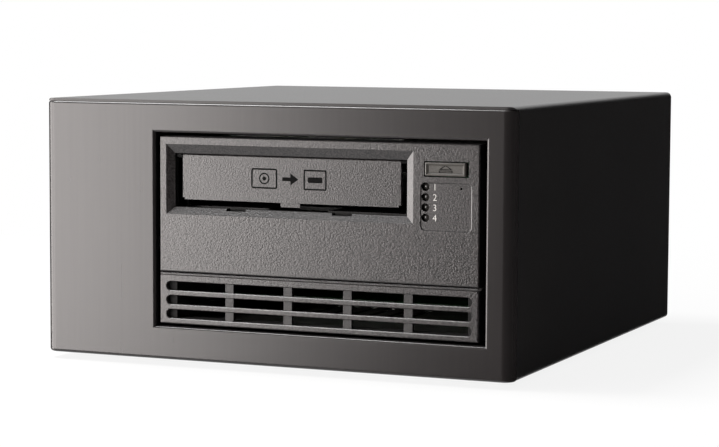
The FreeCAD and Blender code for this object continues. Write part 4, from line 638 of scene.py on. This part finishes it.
def upright_text(words, height_mm, place_mm, thickness_mm):
    """Raised letters standing upright with their faces towards the front."""
    clear_selection()
    bpy.ops.object.text_add()
    words_object = bpy.context.object
    words_object.data.body = words
    words_object.data.size = height_mm / capital_share * MM
    words_object.data.extrude = thickness_mm / 2 * MM
    words_object.data.align_x = "LEFT"
    words_object.data.align_y = "BOTTOM_BASELINE"
    words_object.data.resolution_u = 6
    words_object.data.offset = -stroke_thinning * MM
    pick(words_object)
    bpy.ops.object.convert(target="MESH")
    piece = bpy.context.object
    piece.rotation_euler = (math.radians(90.0), 0.0, 0.0)
    piece.location = Vector(place_mm) * MM
    put_place_in_mesh(piece)
    edit(piece, lambda: bpy.ops.mesh.remove_doubles(threshold=0.002 * MM))
    face_outwards(piece)
    return piece


def flat_shape(corners_mm, face_y, thickness_mm, line_mm=0.0):
    """Thin upright plate with that outline, or only its rim, standing on a face towards the front."""
    clear_selection()
    bpy.ops.mesh.primitive_circle_add(vertices=len(corners_mm), radius=MM, fill_type="NGON")
    piece = bpy.context.object
    for vertex, (x, z) in zip(piece.data.vertices, corners_mm):
        vertex.co = Vector((x, face_y, z)) * MM
    if line_mm:
        choose_faces(piece, lambda face: True)
        bpy.ops.mesh.inset(thickness=line_mm * MM, depth=0.0)
        bpy.ops.mesh.delete(type="FACE")
        leave_edit()
    face_outwards(piece)
    apply_modifier(piece, "SOLIDIFY", thickness=thickness_mm * MM, offset=0.0)
    face_outwards(piece)
    return piece


def round_outline(x, z, half_x, half_z, corner, steps=5):
    """Corners of an upright rounded rectangle about a centre."""
    points = []
    for quarter, (sx, sz) in enumerate(((1, 1), (-1, 1), (-1, -1), (1, -1))):
        for step in range(steps + 1):
            angle = math.radians(90.0 * quarter + 90.0 * step / steps)
            points.append((x + sx * (half_x - corner) + corner * math.cos(angle),
                           z + sz * (half_z - corner) + corner * math.sin(angle)))
    return points


def oval_outline(x, z, half_x, half_z, count):
    """Corners of an upright circle or ellipse about a centre."""
    turns = [math.radians(360.0 / count * i) for i in range(count)]
    return [(x + half_x * math.cos(turn), z + half_z * math.sin(turn)) for turn in turns]


def light_numerals(finish):
    """Plain numbers, printed beside the lights from the top down."""
    pitch = (light_top_z - light_low_z) / (light_count - 1)
    numerals = []
    for i in range(light_count):
        place = (numeral_x, label_floor_y, light_top_z - i * pitch - numeral_height / 2)
        numerals.append(upright_text(str(i + 1), numeral_height, place, print_thickness))
    hand_over(join(numerals), "light_numerals", finish)


def eject_mark(finish):
    """Outline of a triangle over a bar, raised from the button's dish."""
    left, right = button_mid_x - eject_half_width, button_mid_x + eject_half_width
    base_z, tip_z = button_mid_z - 0.25, button_mid_z + 1.75
    bar_low_z, bar_high_z = button_mid_z - 1.55, button_mid_z - 0.55
    triangle = [(left, base_z), (right, base_z), (button_mid_x, tip_z)]
    bar = [(left, bar_low_z), (right, bar_low_z), (right, bar_high_z), (left, bar_high_z)]
    parts = [flat_shape(corners, button_floor_y, thickness_mm=0.24, line_mm=0.28)
             for corners in (triangle, bar)]
    hand_over(join(parts), "eject_mark", finish, body="button")


def door_mark(finish):
    """Plain sign on the door: a cartridge, an arrow and the slot that it goes into."""
    z = door_mark_z
    steps = (6.2, 14.8, 18.6, 22.4, 30.2)
    cartridge_x, tail_x, neck_x, tip_x, slot_x = (door_mark_x + step for step in steps)
    shaft, barb = 0.8, 2.6      # half heights of the arrow's shaft and of its head
    arrow = [(tail_x, z - shaft), (neck_x, z - shaft), (neck_x, z - barb), (tip_x, z),
             (neck_x, z + barb), (neck_x, z + shaft), (tail_x, z + shaft)]
    shapes = (                  # each with the width of its line, or 0 where it is filled
        (round_outline(cartridge_x, z, 6.2, 4.4, corner=1.0), door_mark_line),
        (oval_outline(cartridge_x, z, 2.5, 2.5, count=24), 0.6),
        (oval_outline(cartridge_x, z, 0.9, 0.9, count=12), 0.0),
        (arrow, 0.0),
        (round_outline(slot_x, z, 5.4, 4.4, corner=0.6), door_mark_line),
        (round_outline(slot_x, z, 3.4, 1.2, corner=0.5), 0.0),
    )
    parts = [flat_shape(outline, door_face_y, print_thickness, line) for outline, line in shapes]
    hand_over(join(parts), "door_mark", finish, body="door")


# ---------------------------------------------------------------- screws, guard and contacts
def cross_screw(shank_mm):
    """Pan-head screw with a cross recess: head towards +Z, seat at the origin, shank below."""
    clear_selection()
    bpy.ops.mesh.primitive_cylinder_add(vertices=24, radius=screw_head_radius * MM,
                                        depth=screw_head_height * MM,
                                        location=(0.0, 0.0, screw_head_height / 2 * MM))
    head = bpy.context.object
    put_place_in_mesh(head)
    choose_faces(head, lambda face: face.normal.z > 0.9)
    for inset, rise in ((0.45, 0.22), (0.8, 0.14)):        # the head's domed top, in two steps
        bpy.ops.mesh.inset(thickness=inset * MM, depth=rise * MM)
    leave_edit()
    choose_faces(head, lambda face: face.normal.z < -0.9)
    bpy.ops.mesh.inset(thickness=1.6 * MM, depth=0.0)
    bpy.ops.mesh.extrude_region_move(TRANSFORM_OT_translate={"value": (0.0, 0.0, -shank_mm * MM)})
    leave_edit()
    cutter = block((0.62, 3.1, 2.2), (0.0, 0.0, 2.2))
    choose_faces(cutter, lambda face: face.normal.z < -0.9)
    bpy.ops.transform.resize(value=(0.6, 0.45, 1.0))       # the cross narrows towards its bottom
    leave_edit()
    crossed = copy_of(cutter, (0.0, 0.0, 0.0), Matrix.Rotation(math.radians(90.0), 4, "Z"))
    for tool in (cutter, crossed):
        apply_modifier(head, "BOOLEAN", object=tool, operation="DIFFERENCE", solver="EXACT")
        bpy.data.objects.remove(tool)
    return head


def fan_corners(y):
    """Middles of the fan's four fixing holes, in a plane across Y."""
    half = fan_hole_pitch / 2
    return [(fan_x + sx * half, y, fan_z + sz * half) for sx in (-1, 1) for sz in (-1, 1)]


def screws_for_rear(finish):
    """Cover, fan and inlet screws on the rear, each turned a little differently."""
    model = cross_screw(screw_shank)
    seats = [(x, case_rear_y, z) for x, z in lip_screw_places]
    seats += fan_corners(rear_face_y + guard_wire)
    seats += [(inlet_x, inlet_face_y, inlet_z + side * inlet_screw_pitch / 2) for side in (-1, 1)]
    outward = Matrix.Rotation(math.radians(-90.0), 4, "X")
    screws = [copy_of(model, seat, outward @ Matrix.Rotation(math.radians(screw_turn_step * i), 4, "Z"))
              for i, seat in enumerate(seats)]
    bpy.data.objects.remove(model)
    screws = join(screws)
    smooth_by(screws, 30.0)
    hand_over(screws, "rear_cross_screws", finish, replaced=("rear_screws",))


def wire_ring(radius_mm, centre_mm, segments, sides):
    """Upright ring of the guard's wire."""
    clear_selection()
    bpy.ops.mesh.primitive_torus_add(major_radius=radius_mm * MM, minor_radius=guard_wire / 2 * MM,
                                     major_segments=segments, minor_segments=sides,
                                     rotation=(math.radians(90.0), 0.0, 0.0), location=Vector(centre_mm) * MM)
    return bpy.context.object


def wire_guard(finish):
    """Finger guard of round wire: three rings welded on two crossed wires that end in eyes."""
    middle_y = rear_face_y + guard_wire / 2
    centre = (fan_x, middle_y, fan_z)
    parts = [wire_ring(radius, centre, segments=64, sides=10) for radius in guard_rings]
    reach = fan_hole_pitch / math.sqrt(2)
    for angle in (45.0, 135.0):
        clear_selection()
        bpy.ops.mesh.primitive_cylinder_add(vertices=12, radius=guard_wire / 2 * MM,
                                            depth=2 * (reach - guard_eye) * MM,
                                            rotation=(0.0, math.radians(angle), 0.0),
                                            location=Vector(centre) * MM)
        parts.append(bpy.context.object)
    parts += [wire_ring(guard_eye, corner, segments=28, sides=8) for corner in fan_corners(middle_y)]
    for part in parts:
        put_place_in_mesh(part)
    guard = join(parts)
    apply_modifier(guard, "BEVEL", width=0.05 * MM, segments=1, limit_method="ANGLE",
                   angle_limit=math.radians(60.0))
    smooth_by(guard, 50.0)
    hand_over(guard, "wire_guard", finish, replaced=("fan_guard",))


def socket_contacts(plastic, metal):
    """Black tongue with two rows of contacts inside each wide socket."""
    tongues = []
    for z in socket_rows:
        tongue = block(tongue_size, (socket_x, socket_face_y - 1.6, z))
        step_end(tongue, 0.3, 0.3)
        tongues.append(tongue)
    model = block(contact_size)
    step_end(model, 0.08, 0.15)
    first = -(contacts_in_row - 1) / 2
    contacts = []
    for z in socket_rows:
        for side in (-1, 1):
            for i in range(contacts_in_row):
                x = socket_x + (first + i) * contact_pitch
                contacts.append(copy_of(model, (x, socket_face_y - 1.55, z + side * contact_row_offset)))
    bpy.data.objects.remove(model)
    hand_over(join(tongues), "socket_tongues", plastic)
    hand_over(join(contacts), "socket_contacts", metal)


def rocker_marks(finish):
    """Line and ring printed on the two faces of the power rocker."""
    tilt = math.radians(rocker_tilt)
    along = 4.2                 # from the rocker's middle to each mark
    out = rocker_middle + rocker_rise * along / rocker_half_length
    line = flat_shape([(-0.3, -1.7), (0.3, -1.7), (0.3, 1.7), (-0.3, 1.7)], 0.0, thickness_mm=0.06)
    ring = flat_shape(oval_outline(0.0, 0.0, 2.0, 1.6, count=24), 0.0, thickness_mm=0.06, line_mm=0.45)
    for side, mark in ((1, line), (-1, ring)):
        y = rocker_axis_y + side * along * math.sin(tilt) + out * math.cos(tilt)
        z = rocker_z + side * along * math.cos(tilt) - out * math.sin(tilt)
        slope = side * math.atan2(rocker_rise, rocker_half_length) + tilt
        place = Matrix.Translation(Vector((inlet_x, y, z)) * MM) @ Matrix.Rotation(-slope, 4, "X")
        mark.data.transform(place)
    hand_over(join([line, ring]), "rocker_marks", finish, body="rocker")


# ---------------------------------------------------------------- stage, in metres
floor_size = 12.0
floor_light = tone(242, 242, 242)
floor_dark = tone(238, 238, 238)
floor_glow_near = 0.86          # share of plain white that the camera sees beside the object
floor_glow_start = 0.22
floor_glow_end = 0.60
world_level = 0.36
softbox_x = -1.0
softbox_front = (-2.1, -0.95)
softbox_rear = (-0.95, -0.1)
softbox_low_z = -0.42
softbox_high_z = 0.6
softbox_colour = (1.0, 0.945, 0.92)
front_radiance = 10.0
rear_radiance = 6.4
overhead_place = (-0.77, -0.17, 1.55)
overhead_size = 0.6
overhead_radiance = 26.0
card_span_z = (-1.2, 1.2)
card_corner = (0.32, -1.2)
side_card_end = (0.32, 4.0)
front_card_start = (-0.49, -1.2)
left_rear_card = ((-1.0, -0.08), (-1.0, 0.9))
left_rear_card_span_z = (-0.5, 0.5)


def seen_plainly(nodes, links):
    """1 for rays from the camera and for those that gloss or glass sends on, 0 for all others."""
    path = nodes.new("ShaderNodeLightPath")
    seen = path.outputs["Is Camera Ray"]
    for name in ("Is Glossy Ray", "Is Transmission Ray"):
        seen = arithmetic(nodes, links, "MAXIMUM", seen, path.outputs[name])
    return seen


def add_floor():
    """Pale floor that keeps a soft shadow near the object and turns into plain white further out."""
    clear_selection()
    bpy.ops.mesh.primitive_plane_add(size=floor_size, location=(0, 0, 0))
    floor = bpy.context.object
    floor.name = "floor"
    floor.visible_glossy = False
    material, nodes, links, shader = new_finish("pale_floor")
    shader.inputs["Roughness"].default_value = 0.9
    shader.inputs["Specular IOR Level"].default_value = 0.0
    clouds = noise(nodes, links, 300.0)
    links.new(ramp(nodes, links, clouds, floor_dark, floor_light), shader.inputs["Base Color"])
    glow = nodes.new("ShaderNodeEmission")
    place = nodes.new("ShaderNodeTexCoord")
    distance = nodes.new("ShaderNodeVectorMath")
    distance.operation = "LENGTH"
    links.new(place.outputs["Object"], distance.inputs[0])
    share = mapped(nodes, links, distance.outputs["Value"], floor_glow_start, floor_glow_end,
                   floor_glow_near, 1.0, how="SMOOTHSTEP")
    factor = arithmetic(nodes, links, "MULTIPLY", seen_plainly(nodes, links), share)
    mix = nodes.new("ShaderNodeMixShader")
    links.new(factor, mix.inputs["Fac"])
    links.new(shader.outputs["BSDF"], mix.inputs[1])
    links.new(glow.outputs["Emission"], mix.inputs[2])
    links.new(mix.outputs["Shader"], nodes["Material Output"].inputs["Surface"])
    floor.data.materials.append(material)


def set_world():
    """White surroundings to the camera and in reflections, a plain soft level for the rest."""
    world = bpy.data.worlds.new("studio")
    bpy.context.scene.world = world
    world.use_nodes = True
    nodes, links = world.node_tree.nodes, world.node_tree.links
    background = nodes["Background"]
    background.inputs["Color"].default_value = white
    level = mapped(nodes, links, seen_plainly(nodes, links), 0.0, 1.0, world_level, 1.0)
    links.new(level, background.inputs["Strength"])


def new_lamp(name, size, radiance, place):
    """Area lamp as bright as it is told per area, looking down until it is turned."""
    data = bpy.data.lights.new(name, "AREA")
    data.shape = "RECTANGLE"
    data.size, data.size_y = size
    data.energy = math.pi * radiance * data.size * data.size_y
    lamp = bpy.data.objects.new(name, data)
    bpy.context.collection.objects.link(lamp)
    lamp.location = place
    return lamp


def add_softbox(name, span_y, radiance):
    """Stretch of the long upright lamp wall on the left."""
    size = (span_y[1] - span_y[0], softbox_high_z - softbox_low_z)
    place = (softbox_x, sum(span_y) / 2, (softbox_low_z + softbox_high_z) / 2)
    lamp = new_lamp(name, size, radiance, place)
    lamp.data.color = softbox_colour
    lamp.rotation_euler = (math.radians(90.0), 0.0, math.radians(-90.0))


def add_dark_card(name, start, end, span_z, felt):
    """Upright black card between two floor points that only reflections meet."""
    clear_selection()
    bpy.ops.mesh.primitive_plane_add(size=1.0)
    card = bpy.context.object
    card.name = name
    run = Vector(end) - Vector(start)
    centre = (Vector(start) + Vector(end)) / 2
    card.scale = (run.length, span_z[1] - span_z[0], 1.0)
    card.rotation_euler = (math.radians(90.0), 0.0, math.atan2(run.y, run.x))
    card.location = (centre.x, centre.y, sum(span_z) / 2)
    card.visible_camera = False
    card.visible_shadow = False
    card.visible_diffuse = False
    card.data.materials.append(felt)


def make_felt():
    """Black felt of the cards."""
    material, nodes, links, shader = new_finish("black_felt")
    pile = noise(nodes, links, 40.0)
    links.new(ramp(nodes, links, pile, tone(6, 6, 6), tone(9, 9, 9)), shader.inputs["Base Color"])
    shader.inputs["Roughness"].default_value = 1.0
    shader.inputs["Specular IOR Level"].default_value = 0.0
    return material


# ---------------------------------------------------------------- assembly of the scene
def set_view():
    """Plain view transform; everything else stays at its default."""
    bpy.context.scene.view_settings.view_transform = "Standard"


add_camera()
set_view()
set_world()
add_floor()
felt = make_felt()
add_dark_card("side_card", card_corner, side_card_end, card_span_z, felt)
add_dark_card("front_card", front_card_start, card_corner, card_span_z, felt)
add_dark_card("left_rear_card", *left_rear_card, left_rear_card_span_z, felt)
add_softbox("front_softbox", softbox_front, front_radiance)
add_softbox("rear_softbox", softbox_rear, rear_radiance)
# The overhead lamp draws the bright line along the front's top edge.
new_lamp("overhead_softbox", (overhead_size, overhead_size), overhead_radiance, overhead_place)

finishes = make_finishes()
finish_nodes(finishes)
# The base sheet's zinc takes painted shade on its upper side.
nodes_of["base_chassis"].data.materials[0] = zinc_sheet("base_zinc", base_inside)
soften("front_panel", "front_moulding", 0.2, finishes["panel_paint"])
soften("drive_bezel", "bezel_moulding", 0.12, bezel_grain("bezel_face_grain", bezel_inside),
       reshape=lighten_recesses)
soften("grille_panel", "grille_moulding", 0.12, bezel_grain("grille_grain", grille_inside))
soften("slot_door", "door_moulding", 0.2, bezel_grain("door_grain", door_ends), body="door")
soften("eject_button", "button_cap", 0.12, finishes["button_plastic"], body="button")

white_ink = grained("white_ink", white_print, roughness=0.5, grain_mm=0.3, depth_mm=0.003, mottle=0.05)
black_ink = grained("black_ink", black_print, roughness=0.85, grain_mm=0.3, depth_mm=0.003, mottle=0.08,
                    ior=1.25)
light_numerals(white_ink)
eject_mark(black_ink)
door_mark(black_ink)
screws_for_rear(finishes["screw_steel"])
wire_guard(finishes["screw_steel"])
socket_contacts(finishes["black_plastic"], finishes["contact_metal"])
rocker_marks(white_ink)
